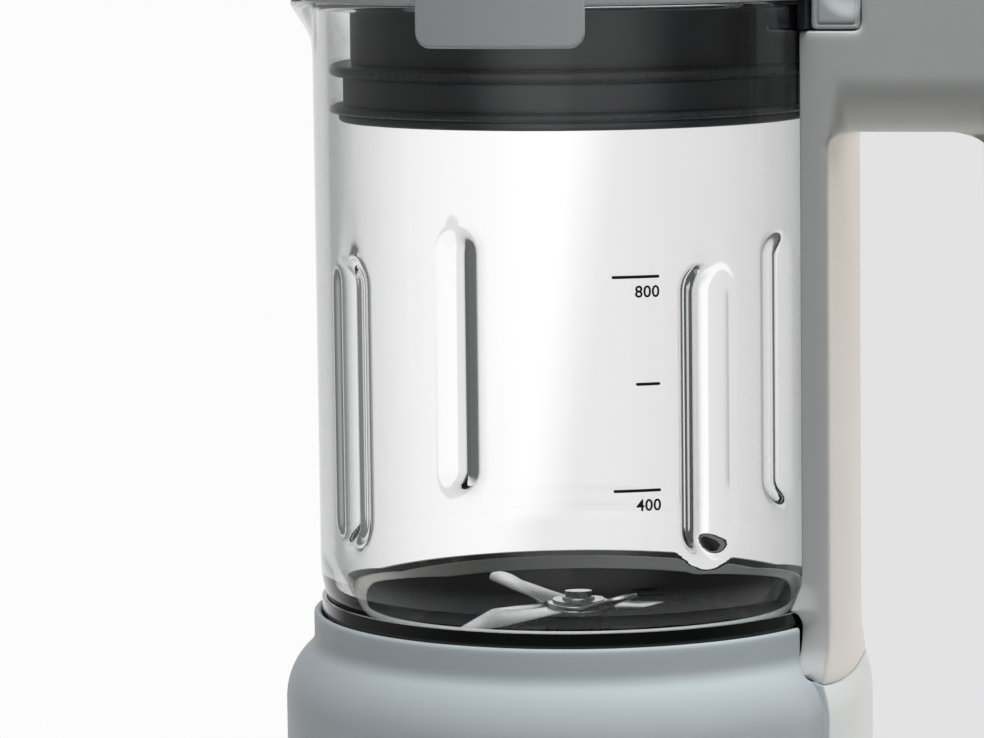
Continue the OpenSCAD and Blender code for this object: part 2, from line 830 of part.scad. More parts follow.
module glass_jug() color("#dfe6ea", 0.4)
  difference() {
    union() {
      difference() {
        union() {
          rotate_extrude() intersection() {
            glass_section(0);
            square([glass_r + 1, rim_z]);
          }
          spout(0);
        }
        rotate_extrude() intersection() {
          glass_section(-glass_t);
          square([glass_r + 1, rim_z + 1]);
        }
        intersection() {
          spout(-glass_t);
          translate([-100, -50, 0]) cube([100, 100, rim_z + 1]);
        }
        translate([-spout_x, 0, rim_z - e]) cylinder(r = spout_r - glass_t, h = 1);
        cylinder(r = glass_hole_r, h = corner_z);
      }
      intersection() {
        rib(rib_r + glass_t);
        cylinder(r = glass_r, h = rim_z);
      }
    }
    rib(rib_r);
  }

module heater_plate() color("#17181a")
  difference() {
    rotate_extrude() {
      translate([0, plate_z - plate_t]) square([glass_hole_r - 1.2, plate_t]);
      translate([glass_hole_r - 2.6, plate_z - plate_t]) square([1.4, plate_t + 2.2]);
      intersection() {
        difference() {
          translate([centre_r, corner_z]) circle(corner_r - glass_t - 0.3);
          translate([centre_r, corner_z]) circle(corner_r - glass_t - 1.4);
        }
        translate([glass_hole_r - 2.6, glass_z]) square([plate_over + 2.6, 14]);
      }
    }
    translate([0, 0, plate_z - 5]) cylinder(r = housing_r + run_gap, h = 10);
  }

module plate_gasket() color("#4a4c50")
  translate([0, 0, plate_z - plate_t]) ring(glass_hole_r - 0.1, glass_hole_r - 1.1, plate_t + 0.9);

module heating_element() color("#a8a39a")
  translate([0, 0, plate_z - plate_t - tube_r]) {
    rotate([0, 0, element_gap / 2]) rotate_extrude(angle = 360 - element_gap)
      translate([element_r, 0]) circle(tube_r);
    for (side = [-1, 1]) rotate([0, 0, side * (element_gap / 2 + 4)])
      translate([element_r, 0, -9]) cylinder(r = 1.5, h = 9);
  }

thermostat_x = (housing_flange + element_r - tube_r) / 2;

module thermostat() color("#d9d4c4")
  translate([0, thermostat_x, plate_z - plate_t - 6]) {
    cylinder(r = 5, h = 6);
    for (side = [-1, 1]) translate([side * 3 - 0.4, -2, -5]) cube([0.8, 4, 5 + e]);
  }

jug_screw_angles = [60, 180, 300];

module jug_base() color("#141517")
  difference() {
    union() {
      difference() {
        rotate_extrude() difference() {
          union() {
            translate([0, skirt_z]) square([skirt_r, collar_z + 1 - skirt_z]);
            translate([0, collar_z + 0.4]) square([lip_r, lip_h - 0.4]);
          }
          translate([0, skirt_z - 1]) square([skirt_in, cradle_z - skirt_z + 1]);
          square([cradle_r, 2 * collar_z]);
          glass_section(0.2);
        }
      }
      translate([0, 0, jug_cover_z + jug_cover_t]) at_angles(jug_screw_angles, jug_boss_circle)
        cylinder(r = jug_boss_r, h = cradle_z - jug_cover_z - jug_cover_t + e);
    }
    translate([0, 0, jug_cover_z]) at_angles(jug_screw_angles, jug_boss_circle)
      cylinder(r = screw_r + run_gap, h = 12);
    translate([tongue_x - set_gap, -tongue_w / 2 - set_gap, foot_z - set_gap])
      cube([10, tongue_w + 2 * set_gap, tongue_top - foot_z + 2 * set_gap]);
  }

module jug_base_cover() color("#2a2b2e")
  translate([0, 0, jug_cover_z]) difference() {
    cylinder(r = skirt_in - 0.2, h = jug_cover_t);
    translate([0, 0, -1]) cylinder(r = coupling_r + 1.5, h = 10);
    translate([plug_x, 0, 0])
      cube([plug_l + 2 * set_gap, plug_w + 2 * set_gap, 20], center = true);
    translate([0, 0, -1]) at_angles(jug_screw_angles, jug_boss_circle) {
      cylinder(r = screw_r + 0.3, h = 10);
      cylinder(r = head_r + 0.3, h = 1 + 1.4);
    }
  }

module jug_base_screws() color("silver")
  translate([0, 0, jug_cover_z + 1.4 - head_h]) at_angles(jug_screw_angles, jug_boss_circle)
    screw(9);

module jug_plug() color("#26272a")
  difference() {
    union() {
      translate([plug_x - plug_l / 2, -plug_w / 2, deck_z + 1]) cube([plug_l, plug_w, 9]);
      translate([plug_x - plug_l / 2 - 1.5, -plug_w / 2 - 1.5, jug_cover_z + jug_cover_t])
        cube([plug_l + 3, plug_w + 3, 2]);
    }
    pin_row() translate([0, 0, deck_z]) cylinder(r = pin_r + run_gap, h = 20);
  }

module plug_pins() color("#c8a860")
  pin_row() {
    translate([0, 0, deck_z - socket_h + 4]) cylinder(r = pin_r, h = socket_h + 8);
    translate([0, 0, deck_z - socket_h + 4]) sphere(pin_r);
    translate([0, 0, deck_z + 10]) cylinder(r = pin_r + 0.8, h = 2);
  }

housing_low = driven_z + flange_t + 4;
housing_top = plate_z + 3;

module bearing_housing() color("#b8bcbf")
  difference() {
    union() {
      translate([0, 0, housing_low]) cylinder(r = housing_r, h = housing_top - housing_low);
      translate([0, 0, plate_z - plate_t - 2.4]) cylinder(r = housing_flange, h = 2.4);
      translate([0, 0, plate_z]) cylinder(r = housing_r + 3, h = 1.8);
    }
    translate([0, 0, housing_low - 1]) cylinder(r = shaft_r + 0.8, h = 60);
    for (z = [housing_low - 1, housing_top - bush_h - 2])
      translate([0, 0, z]) cylinder(r = bush_r + run_gap, h = bush_h + (z < housing_low ? 1 : 3));
  }

module bearing_bushes() color("#b08d57")
  for (z = [housing_low, housing_top - bush_h - 2])
    translate([0, 0, z]) ring(bush_r, shaft_r + run_gap, bush_h);

module shaft_seal() color("#5a2f2a")
  translate([0, 0, housing_top - 1.9]) ring(bush_r, shaft_r + 0.1, 1.8);

module grip_outline() {
  difference() {
    union() {
      translate([grip_in, collar_z + grip_low])
        square([grip_t, handle_top - collar_z - grip_low - grip_corner]);
      translate([grip_in, handle_top - grip_corner - e])
        square([grip_t - grip_corner + e, grip_corner + e]);
      translate([grip_reach - grip_corner, handle_top - grip_corner]) circle(grip_corner);
    }
    translate([grip_in - 2 * grip_corner, 0]) square([2 * grip_corner, 2 * handle_top]);
  }
}

module grip() {
  intersection() {
    upright(handle_w) grip_outline();
    translate([grip_in + grip_t / 2, 0, 0]) linear_extrude(2 * handle_top)
      rounded_square(grip_t, handle_w, grip_edge);
    union() {
      translate([0, 0, collar_z + grip_low + handle_w / 2]) cube([400, 400, 2 * arm_z], center = false);
      translate([0, -200, collar_z + grip_low + handle_w / 2]) cube([400, 200.1, 2 * arm_z]);
      translate([0, 0, collar_z + grip_low + handle_w / 2]) rotate([0, 90, 0])
        cylinder(d = handle_w, h = 200);
    }
  }
}

finger_r = 10;
lip_drop = 6;

// Spine and arm in one outline, with the lug's pocket and the rounded top of the finger gap.
module spine_outline() {
  difference() {
    union() {
      translate([tongue_x, foot_z]) square([spine_x - tongue_x, seat_z - foot_z]);
      difference() {
        translate([collar_r, foot_z - lip_drop]) square([spine_x - collar_r, lip_drop + e]);
        pad_outline(lift_gap);
      }
      translate([tongue_x, arm_z]) square([pocket_x + 4 - tongue_x, seat_z - arm_z]);
      translate([pocket_x, arm_z]) square([grip_in + grip_edge - pocket_x, handle_top - arm_z]);
      translate([spine_x - e, arm_z - finger_r]) square([finger_r, finger_r + e]);
      translate([grip_in - finger_r, arm_z - finger_r]) square([finger_r + e, finger_r + e]);
    }
    translate([spine_x + finger_r, arm_z - finger_r]) circle(finger_r);
    translate([grip_in - finger_r, arm_z - finger_r]) circle(finger_r);
  }
}

module handle_solid() {
  difference() {
    upright(handle_w) spine_outline();
    translate([0, 0, tongue_top]) cylinder(r = glass_r + glass_gap, h = 300);
    difference() {
      translate([0, 0, foot_z - 1]) cylinder(r = glass_r + glass_gap, h = tongue_top - foot_z + 1.1);
      translate([0, -tongue_w / 2, 0]) cube([100, tongue_w, 300]);
    }
  }
  grip();
}

reed = [4, 14, 3];
magnet_r = 3;

module handle_body() color("#b9bdbe")
  difference() {
    handle_solid();
    translate([split_x, -50, 0]) cube([200, 100, 400]);
    translate([(spine_x + pocket_x) / 2 - reed[0] / 2 - set_gap, -reed[1] / 2 - set_gap, seat_z - reed[2] - 0.5])
      cube([reed[0] + 2 * set_gap, reed[1] + 2 * set_gap, 10]);
    handle_screw_places() {
      translate([0, 0, -1]) cylinder(r = screw_r + 0.3, h = grip_t);
      translate([0, 0, -1]) cylinder(r = head_r + 0.3, h = 1 + head_h + 1);
    }
  }

module handle_cover() color("#cfd2d2")
  difference() {
    intersection() {
      handle_solid();
      translate([split_x, -50, 0]) cube([200, 100, 400]);
    }
    handle_screw_places() cylinder(r = screw_r + run_gap, h = grip_t - 3);
  }

module handle_screw_places() {
  for (z = [collar_z + grip_low + handle_w / 2, arm_z - finger_r - 6])
    translate([grip_in, 0, z]) rotate([0, 90, 0]) children();
}

module handle_screws() color("silver")
  handle_screw_places() translate([0, 0, 0.8]) screw(grip_t - 7);

module reed_switch() color("#d8d8d4")
  translate([(spine_x + pocket_x) / 2, 0, seat_z - 0.4 - reed[2] / 2]) cube(reed, center = true);

// Blades

module blade_shaft() color("#c8cacc") {
  translate([0, 0, driven_z + 1]) cylinder(r = shaft_r, h = blade_z + 2 * blade_t + 4 - driven_z - 1);
  translate([0, 0, blade_z - 0.8]) cylinder(r = shaft_shoulder, h = 0.8);
}

// One wing of sheet steel, bent up or down from the hub. Coining leaves it a little thinner.
module wing(angle, reach, rise, pointed) {
  fold = hub_r - 0.8;
  coined = 0.04;
  length = (reach - fold) / cos(rise);
  tip_r = wing_tip / 2;
  rotate([0, 0, angle]) translate([fold, 0, coined / 2]) rotate([0, -rise, 0])
    linear_extrude(blade_t - coined)
      if (pointed)
        polygon([[0, -wing_root / 2], [length * 0.45, -wing_tip], [length, wing_tip / 2],
          [length * 0.6, wing_tip / 2], [0, wing_root / 2]]);
      else union() {
        polygon([[0, -wing_root / 2], [length - tip_r, -tip_r], [length - tip_r, tip_r],
          [0, wing_root / 2]]);
        translate([length - tip_r, 0]) circle(tip_r);
      }
}

module blade_hub() {
  translate([0, 0, -e]) cylinder(r = shaft_r + run_gap, h = blade_t + 2 * e);
}

module lower_blade() color("#d4d6d8")
  translate([0, 0, blade_z]) difference() {
    union() {
      cylinder(r = hub_r, h = blade_t);
      wing(220, low_wing_reach, -low_wing_droop, true);
      wing(40, low_wing_reach, -low_wing_droop, true);
    }
    blade_hub();
  }

module upper_blade() color("#d4d6d8")
  translate([0, 0, blade_z + blade_t]) difference() {
    union() {
      cylinder(r = hub_r, h = blade_t);
      wing(158, high_wing_reach, high_wing_rise, false);
      wing(322, high_wing_reach, high_wing_rise, false);
    }
    blade_hub();
  }

module blade_washer() color("#c8cacc")
  translate([0, 0, blade_z + 2 * blade_t]) ring(nut_r + 1, shaft_r + run_gap, 0.8);

module blade_nut() color("#c8cacc")
  translate([0, 0, blade_z + 2 * blade_t + 0.8]) difference() {
    union() {
      cylinder(r = nut_r, h = 2.6, $fn = 6);
      cylinder(r = nut_r - 1, h = 4);
    }
    translate([0, 0, -1]) cylinder(r = shaft_r + run_gap, h = 4.4);
  }

module driven_coupling() color("#2c2d30")
  translate([0, 0, driven_z]) {
    difference() {
      union() {
        cylinder(r = coupling_r, h = flange_t);
        cylinder(r = shaft_r + 2.4, h = flange_t + 3.6);
      }
      translate([0, 0, 1]) cylinder(r = shaft_r + run_gap, h = 10);
    }
    translate([0, 0, -dog_h + e]) dogs(180 / dog_count);
  }

// Lid

module lid_section(shrink) {
  difference() {
    union() {
      translate([0, lid_low]) square([lid_r - shrink, lid_z - lid_low - lid_edge]);
      translate([0, lid_z - lid_edge - e]) square([lid_r - lid_edge, lid_edge + e - shrink]);
      translate([lid_r - lid_edge, lid_z - lid_edge]) circle(lid_edge - shrink);
    }
    translate([0, lid_low - 10]) square([lid_r + 1, 10]);
  }
}

module lid_tab() {
  intersection() {
    translate([0, 0, rim_z - tab_drop]) ring(tab_r, glass_r + 0.7, tab_drop + lid_rise - lid_edge);
    translate([0, 0, rim_z - tab_drop + 15]) rotate([90, 0, 0])
      linear_extrude(100) rounded_square(tab_w, 30, tab_corner);
  }
}

module lid_cover() color("#b3bbc0")
  difference() {
    union() {
      difference() {
        union() {
          rotate_extrude() lid_section(0);
          translate([-spout_x, 0, lid_low]) cylinder(r = spout_r + 1.4, h = lid_rise - lid_edge);
        }
        rotate_extrude() difference() {
          lid_section(lid_t);
          square([feed_r + chimney_t + 6, 2 * lid_z]);
        }
        translate([0, 0, lid_low - 1]) cylinder(r = lid_r - lid_t, h = 4);
      }
      translate([0, 0, lid_low + 3]) ring(lid_r - lid_t - 12, feed_r, lid_rise - 3 - lift_gap - 1);
      for (turn = [0, 180]) rotate([0, 0, turn]) lid_tab();
      translate([glass_r - 9, -lug_w / 2, lug_low])
        cube([lug_reach - glass_r + 9, lug_w, lid_z - 1 - lug_low]);
    }
    translate([0, 0, lug_low - 1]) cylinder(r = glass_r + 0.5, h = lid_low - lug_low + 1);
    translate([0, 0, lid_low - 1]) cylinder(r = lid_r - lid_t - 0.2, h = 4);
    translate([0, 0, lid_low - 1]) cylinder(r = feed_r, h = 40);
    translate([(spine_x + pocket_x) / 2, 0, lug_low - 1]) cylinder(r = magnet_r + run_gap, h = 1 + 2.6);
  }

module lid_magnet() color("#8f9295")
  translate([(spine_x + pocket_x) / 2, 0, lug_low + 0.2]) cylinder(r = magnet_r, h = 2.3);

plug_floor = rim_z - plug_depth;

module lid_plug() color("#2d2e33")
  difference() {
    rotate_extrude() difference() {
      union() {
        translate([0, plug_floor]) square([plug_low_r, plug_foot + low_seal_t]);
        translate([0, plug_floor]) square([plug_mid_r, plug_depth - seal_drop - seal_t]);
        translate([0, plug_floor]) square([plug_r, plug_depth + 1]);
        translate([0, lid_low]) square([lid_r - lid_t - 0.4, 2.6]);
      }
      translate([feed_r + chimney_t, plug_floor + 2.4])
        square([plug_r - plug_t - feed_r - chimney_t, 2 * plug_depth]);
      translate([seal_in - seat_gap, rim_z - seal_drop - seal_t]) square([plug_r, seal_t]);
      translate([seal_in - seat_gap, low_seal_z]) square([plug_r, low_seal_t]);
      translate([0, plug_floor - 1]) square([feed_r, 2 * plug_depth]);
    }
  }

module lid_seals() color("#3c3e44") {
  translate([0, 0, rim_z - seal_drop - seal_t]) ring(seal_r, seal_in, seal_t);
  translate([0, 0, low_seal_z]) ring(seal_r, seal_in, low_seal_t);
}

cap_z = lid_z + 0.2;
cap_skirt = feed_r - 2 * lift_gap;
cap_low = plug_floor + 1;

module feed_cap() color("#b3bbc0")
  difference() {
    union() {
      translate([0, 0, cap_z]) cylinder(r = feed_r + cap_over, h = cap_t);
      translate([0, 0, cap_low]) cylinder(r = cap_skirt, h = cap_z - cap_low + e);
      intersection() {
        translate([0, 0, cap_z + cap_t - e]) upright_bar();
        translate([0, 0, cap_z]) cylinder(r = feed_r + cap_over - 2, h = cap_t + bar_h);
      }
    }
    translate([0, 0, cap_low - 1]) cylinder(r = cap_skirt - cap_wall, h = cap_z - cap_low);
    translate([0, 0, cap_seal_z]) ring(feed_r + 1, cap_skirt - cap_groove, 2 * cap_seal_r + 0.1);
    for (side = [-1, 1]) translate([0, side * (bar_w / 2 + 5), cap_low]) cylinder(r = steam_r, h = 60);
  }

module upright_bar() {
  translate([-feed_r - cap_over, -bar_w / 2, 0]) cube([2 * (feed_r + cap_over), bar_w, bar_h]);
}

cap_seal_r = 0.7;
cap_groove = 1.2;
cap_seal_z = (cap_low + cap_z) / 2;

module cap_seal() color("#3c3e44")
  translate([0, 0, cap_seal_z + cap_seal_r + 0.05]) rotate_extrude()
    translate([cap_skirt - cap_groove + 0.05 + cap_seal_r, 0]) circle(cap_seal_r);

// Controls

knob_back = panel_face - 1.6 + lift_gap;

module knob() color("#c3cacd")
  facing_front(0, knob_z) {
    difference() {
      union() {
        translate([0, 0, knob_back]) cylinder(r = knob_r, h = 3);
        translate([0, 0, knob_back]) cylinder(r1 = knob_r - 1, r2 = knob_r - 2.5, h = knob_h);
      }
      for (side = [-1, 1]) translate([side > 0 ? 4 : -4 - 2 * knob_r, -2 * knob_r, knob_back + 3.6])
        cube([2 * knob_r, 4 * knob_r, knob_h]);
      translate([-0.6, 4, knob_back + knob_h - 0.5]) cube([1.2, knob_r, 2]);
    }
    translate([0, 0, board_y + 1]) cylinder(r = shaft_r, h = knob_back - board_y);
  }

button_back = panel_y + button_travel + lift_gap;

module start_button() color("#e4e6e6")
  facing_front(0, button_z) {
    translate([0, 0, button_back]) cylinder(r = button_r, h = 2.6);
    translate([0, 0, board_y + 2.8 + button_travel + 0.2])
      cylinder(r = 2.4, h = button_back - board_y - 2.8 - button_travel);
  }

base_housing();
bottom_cover();
foot_ring();
bottom_screws();
control_panel();
indicator_lens();
control_board();
selector_switch();
start_switch();
power_board();
base_socket();
socket_contacts();
cord_gland();
motor_frame_top();
motor_frame_bottom();
motor_stator();
field_coils();
motor_bolts();
brush_holders();
carbon_brushes();
upper_bearing();
lower_bearing();
motor_mounts();
mount_screws();
motor_shaft();
motor_rotor();
commutator();
cooling_fan();
drive_coupling();
glass_jug();
heater_plate();
plate_gasket();
heating_element();
thermostat();
jug_base();
jug_base_cover();
jug_base_screws();
jug_plug();
plug_pins();
bearing_housing();
bearing_bushes();
shaft_seal();
handle_body();
handle_cover();
handle_screws();
reed_switch();
blade_shaft();
lower_blade();
upper_blade();
blade_washer();
blade_nut();
driven_coupling();
lid_cover();
lid_plug();
lid_seals();
lid_magnet();
feed_cap();
cap_seal();
knob();
start_button();
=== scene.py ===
import math
import bpy
from mathutils import Matrix, Vector


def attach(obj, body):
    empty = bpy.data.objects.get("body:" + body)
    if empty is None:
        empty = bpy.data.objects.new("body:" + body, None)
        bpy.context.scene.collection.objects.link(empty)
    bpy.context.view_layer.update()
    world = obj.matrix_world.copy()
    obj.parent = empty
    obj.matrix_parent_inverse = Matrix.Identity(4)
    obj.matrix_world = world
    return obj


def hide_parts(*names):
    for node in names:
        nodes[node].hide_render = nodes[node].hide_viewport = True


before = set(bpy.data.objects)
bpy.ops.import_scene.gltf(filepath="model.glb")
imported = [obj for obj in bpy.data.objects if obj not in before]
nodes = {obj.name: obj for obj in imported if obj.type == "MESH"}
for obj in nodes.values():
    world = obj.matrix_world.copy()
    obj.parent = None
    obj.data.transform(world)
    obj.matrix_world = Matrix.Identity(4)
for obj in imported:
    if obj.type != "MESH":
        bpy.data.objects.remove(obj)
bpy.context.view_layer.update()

mm = 0.001
print("frame loaded,", len(nodes), "nodes")


# modelling helpers

def clearSelection():
    if bpy.context.mode != "OBJECT":
        bpy.ops.object.mode_set(mode="OBJECT")
    bpy.ops.object.select_all(action="DESELECT")


def activate(obj):
    clearSelection()
    obj.select_set(True)
    bpy.context.view_layer.objects.active = obj


def drawOutline(name, points):
    # a plane merged to one point is the pen, and extrude draws the closed outline with it
    clearSelection()
    bpy.ops.mesh.primitive_plane_add(size=mm)
    obj = bpy.context.object
    obj.name = obj.data.name = name
    bpy.ops.object.mode_set(mode="EDIT")
    bpy.ops.mesh.select_all(action="SELECT")
    bpy.ops.mesh.merge(type="CENTER")
    last = Vector(points[0])
    bpy.ops.transform.translate(value=last * mm)
    for point in list(points[1:]) + [points[0]]:
        step = Vector(point) - last
        bpy.ops.mesh.extrude_region_move(TRANSFORM_OT_translate={"value": step * mm})
        last = Vector(point)
    bpy.ops.mesh.select_all(action="SELECT")
    bpy.ops.mesh.remove_doubles(threshold=0.002 * mm)
    return obj


def softCorners(corners, pieces=5):
    # corners are (a, b, radius); each becomes an arc that touches both sides
    outline = []
    for i, (a, b, radius) in enumerate(corners):
        here = Vector((a, b))
        before = Vector(corners[i - 1][:2]) - here
        after = Vector(corners[(i + 1) % len(corners)][:2]) - here
        if radius <= 0:
            outline.append((a, b))
            continue
        half = before.angle(after) / 2
        reach = min(radius / math.tan(half), 0.49 * before.length, 0.49 * after.length)
        before.normalize()
        after.normalize()
        centre = here + (before + after).normalized() * (reach / math.cos(half))
        start = here + before * reach - centre
        turn = start.angle_signed(here + after * reach - centre)
        for k in range(pieces + 1):
            spoke = start.copy()
            spoke.rotate(Matrix.Rotation(-turn * k / pieces, 2))
            outline.append(tuple(centre + spoke))
    return outline


def turnOutline(name, outline, steps):
    obj = drawOutline(name, [(r, 0, z) for r, z in outline])
    bpy.ops.mesh.spin(steps=steps, angle=2 * math.pi, center=(0, 0, 0), axis=(0, 0, 1))
    bpy.ops.mesh.select_all(action="SELECT")
    bpy.ops.mesh.remove_doubles(threshold=0.002 * mm)
    bpy.ops.mesh.delete_loose()
    bpy.ops.mesh.select_all(action="SELECT")
    bpy.ops.mesh.normals_make_consistent(inside=False)
    bpy.ops.object.mode_set(mode="OBJECT")
    return obj


def raiseOutline(name, points, depth):
    # fills a closed flat outline and extrudes it by depth
    obj = drawOutline(name, points)
    bpy.ops.mesh.edge_face_add()
    bpy.ops.mesh.extrude_region_move(TRANSFORM_OT_translate={"value": Vector(depth) * mm})
    bpy.ops.mesh.select_all(action="SELECT")
    bpy.ops.mesh.normals_make_consistent(inside=False)
    bpy.ops.object.mode_set(mode="OBJECT")
    return obj


def applyModifier(obj, kind, **settings):
    activate(obj)
    modifier = obj.modifiers.new(kind.lower(), kind)
    for key, value in settings.items():
        setattr(modifier, key, value)
    bpy.ops.object.modifier_apply(modifier=modifier.name)


def softenEdges(obj, width, segments=3, angle=35):
    applyModifier(obj, "BEVEL", width=width * mm, segments=segments,
                  limit_method="ANGLE", angle_limit=math.radians(angle))


def cutWith(obj, cutter, operation="DIFFERENCE"):
    applyModifier(obj, "BOOLEAN", object=cutter, operation=operation, solver="EXACT")
    bpy.data.objects.remove(cutter)


def moveVertices(obj, rule):
    # rule gets and gives millimetres
    for vertex in obj.data.vertices:
        vertex.co = Vector(rule(*(vertex.co / mm))) * mm


def turnMesh(obj, matrix):
    obj.data.transform(matrix)
    obj.data.update()


def smoothStep(a, b, x):
    t = min(max((x - a) / (b - a), 0), 1)
    return t * t * (3 - 2 * t)


def blendRows(rows, x):
    # value between the listed (place, value) pairs
    if x <= rows[0][0]:
        return rows[0][1]
    for (a, u), (b, v) in zip(rows, rows[1:]):
        if x <= b:
            return u + (v - u) * (x - a) / (b - a)
    return rows[-1][1]


def finishPiece(obj, material, body, slot, *replaced, angle=35):
    activate(obj)
    bpy.ops.object.shade_smooth_by_angle(angle=math.radians(angle))
    obj.data.materials.clear()
    obj.data.materials.append(material)
    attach(obj, body)
    if replaced:
        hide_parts(*replaced)


# material helpers

def linear(hexColour):
    # sRGB hex to linear RGBA
    parts = [int(hexColour[i:i + 2], 16) / 255 for i in (0, 2, 4)]
    return [c / 12.92 if c <= 0.04045 else ((c + 0.055) / 1.055) ** 2.4 for c in parts] + [1]


def addNode(tree, kind, settings=None, links=None):
    node = tree.nodes.new(kind)
    for key, value in (settings or {}).items():
        if isinstance(key, str) and hasattr(node, key):
            setattr(node, key, value)
        else:
            node.inputs[key].default_value = value
    for socket, source in (links or {}).items():
        tree.links.new(source, node.inputs[socket])
    return node


def newMaterial(name):
    material = bpy.data.materials.new(name)
    material.use_nodes = True
    material.node_tree.nodes.clear()
    return material, material.node_tree


def noiseAt(tree, sizeInMm, detail=3, stretch=(1, 1, 1)):
    # noise whose blobs are about sizeInMm across
    place = addNode(tree, "ShaderNodeTexCoord").outputs["Object"]
    scaled = addNode(tree, "ShaderNodeMapping", {"Scale": stretch}, {"Vector": place})
    return addNode(tree, "ShaderNodeTexNoise", {"Scale": 1000 / sizeInMm, "Detail": detail},
                   {"Vector": scaled.outputs[0]})


def closeSurface(tree, shader):
    addNode(tree, "ShaderNodeOutputMaterial", None, {"Surface": shader})


def mouldedPlastic(name, light, dark, roughness, grain, bump, ior=1.5, coat=0.0, edge=0.4):
    # light and dark are the two ends of a faint cloudiness; grain is the eroded texture in mm
    material, tree = newMaterial(name)
    cloud = noiseAt(tree, 28, 4)
    tone = addNode(tree, "ShaderNodeMix", {"data_type": "RGBA"})
    tone.inputs[6].default_value = linear(dark)
    tone.inputs[7].default_value = linear(light)
    tree.links.new(cloud.outputs["Fac"], tone.inputs[0])
    fine = noiseAt(tree, grain, 2)
    rough = addNode(tree, "ShaderNodeMapRange",
                    {"From Min": 0.3, "From Max": 0.7, "To Min": roughness - 0.04,
                     "To Max": roughness + 0.05}, {"Value": fine.outputs["Fac"]})
    rounded = addNode(tree, "ShaderNodeBevel", {"samples": 4, "Radius": edge * mm})
    relief = addNode(tree, "ShaderNodeBump", {"Strength": bump, "Distance": 0.04 * mm},
                     {"Height": fine.outputs["Fac"], "Normal": rounded.outputs[0]})
    shader = addNode(tree, "ShaderNodeBsdfPrincipled",
                     {"IOR": ior, "Coat Weight": coat, "Coat Roughness": 0.12},
                     {"Base Color": tone.outputs[2], "Roughness": rough.outputs[0],
                      "Normal": relief.outputs[0]})
    closeSurface(tree, shader.outputs[0])
    return material


def metal(name, light, dark, roughness, grain, stretch=(1, 1, 1), bump=0.15, edge=0.15):
    material, tree = newMaterial(name)
    lines = noiseAt(tree, grain, 3, stretch)
    tone = addNode(tree, "ShaderNodeMix", {"data_type": "RGBA"})
    tone.inputs[6].default_value = linear(dark)
    tone.inputs[7].default_value = linear(light)
    tree.links.new(noiseAt(tree, 9, 3).outputs["Fac"], tone.inputs[0])
    rough = addNode(tree, "ShaderNodeMapRange",
                    {"From Min": 0.3, "From Max": 0.7, "To Min": roughness * 0.7,
                     "To Max": roughness * 1.4}, {"Value": lines.outputs["Fac"]})
    rounded = addNode(tree, "ShaderNodeBevel", {"samples": 4, "Radius": edge * mm})
    relief = addNode(tree, "ShaderNodeBump", {"Strength": bump, "Distance": 0.01 * mm},
                     {"Height": lines.outputs["Fac"], "Normal": rounded.outputs[0]})
    shader = addNode(tree, "ShaderNodeBsdfPrincipled", {"Metallic": 1.0},
                     {"Base Color": tone.outputs[2], "Roughness": rough.outputs[0],
                      "Normal": relief.outputs[0]})
    closeSurface(tree, shader.outputs[0])
    return material


# finishes

# ABS moulded in a cool light grey with a fine eroded skin: soft wide highlights
housingAbs = mouldedPlastic("abs_matt_cool_grey", "ccd3d5", "c5cccf", 0.46, 0.35, 0.35)
# the lid and its cap: the same ABS, a shade more neutral
lidAbs = mouldedPlastic("abs_matt_lid_grey", "ccd0cf", "c4c8c8", 0.44, 0.35, 0.35)
# the handle: ABS in a warmer grey
handleAbs = mouldedPlastic("abs_matt_warm_grey", "d3d3d0", "cbccc9", 0.45, 0.35, 0.35)
# polypropylene plug inside the lid: near black, satin from the mould
plugPp = mouldedPlastic("polypropylene_black_satin", "2e2f35", "26272c", 0.34, 0.9, 0.012)
# silicone seals: softer and a little lighter than the plug
sealSilicone = mouldedPlastic("silicone_dark_grey", "2f3138", "282a30", 0.3, 0.8, 0.02, 1.42)
# glossy black ABS of the jug base: deep tone under clear reflections
blackAbs = mouldedPlastic("abs_gloss_black", "0c0d0f", "08090a", 0.12, 0.9, 0.05, 1.52, 0.3)
# unpainted polypropylene of hidden covers and couplings: charcoal, matt
darkPlastic = mouldedPlastic("polypropylene_charcoal", "3a3c40", "323438", 0.5, 0.4, 0.4)
# ABS of the control panel: graphite, satin, with a thin clear coat
panelAbs = mouldedPlastic("abs_satin_graphite", "5a5f64", "50555a", 0.3, 0.3, 0.15, 1.5, 0.2)
# ABS of the knob: the housing grey, a little smoother from handling
knobAbs = mouldedPlastic("abs_satin_knob_grey", "ccd3d6", "c3cbce", 0.34, 0.35, 0.25)
# ABS of the start button: white, satin
buttonAbs = mouldedPlastic("abs_satin_white", "eceded", "e4e5e5", 0.3, 0.35, 0.2)
# silicone lip round the heated floor, slightly wet-looking; its pale colour is painted light for
# the light refracted through the glass heel
paintedLightSilicone = mouldedPlastic("silicone_pale_painted_light", "d4d6d4", "c8cac8", 0.25, 0.8, 0.03, 1.42, 0.4)
# nitrile rubber of the foot ring and motor mounts: black, fully matt
footRubber = mouldedPlastic("nitrile_rubber_black", "242426", "1c1c1e", 0.75, 0.3, 0.6)
# soft PVC of the cord gland: dull grey
grommetRubber = mouldedPlastic("pvc_soft_grey", "45484c", "3b3e42", 0.6, 0.4, 0.5)
# PBT of the switches: light grey, barely glossy
switchPlastic = mouldedPlastic("pbt_light_grey", "b4b6b6", "a6a8a8", 0.4, 0.5, 0.2)
# natural nylon of the fan and the reed switch: ivory, waxy
nylonPlastic = mouldedPlastic("nylon_natural", "e4e3da", "d8d7cd", 0.42, 0.6, 0.2)
# glass epoxy of the circuit boards: green, with the weave as fine grain
boardLaminate = mouldedPlastic("glass_epoxy_green", "2f6b45", "255a38", 0.3, 0.7, 0.3, 1.55)
# steatite ceramic of the thermostat: cream, dry
steatite = mouldedPlastic("steatite_ceramic", "ddd8c8", "d2ccbb", 0.35, 0.3, 0.3, 1.6)
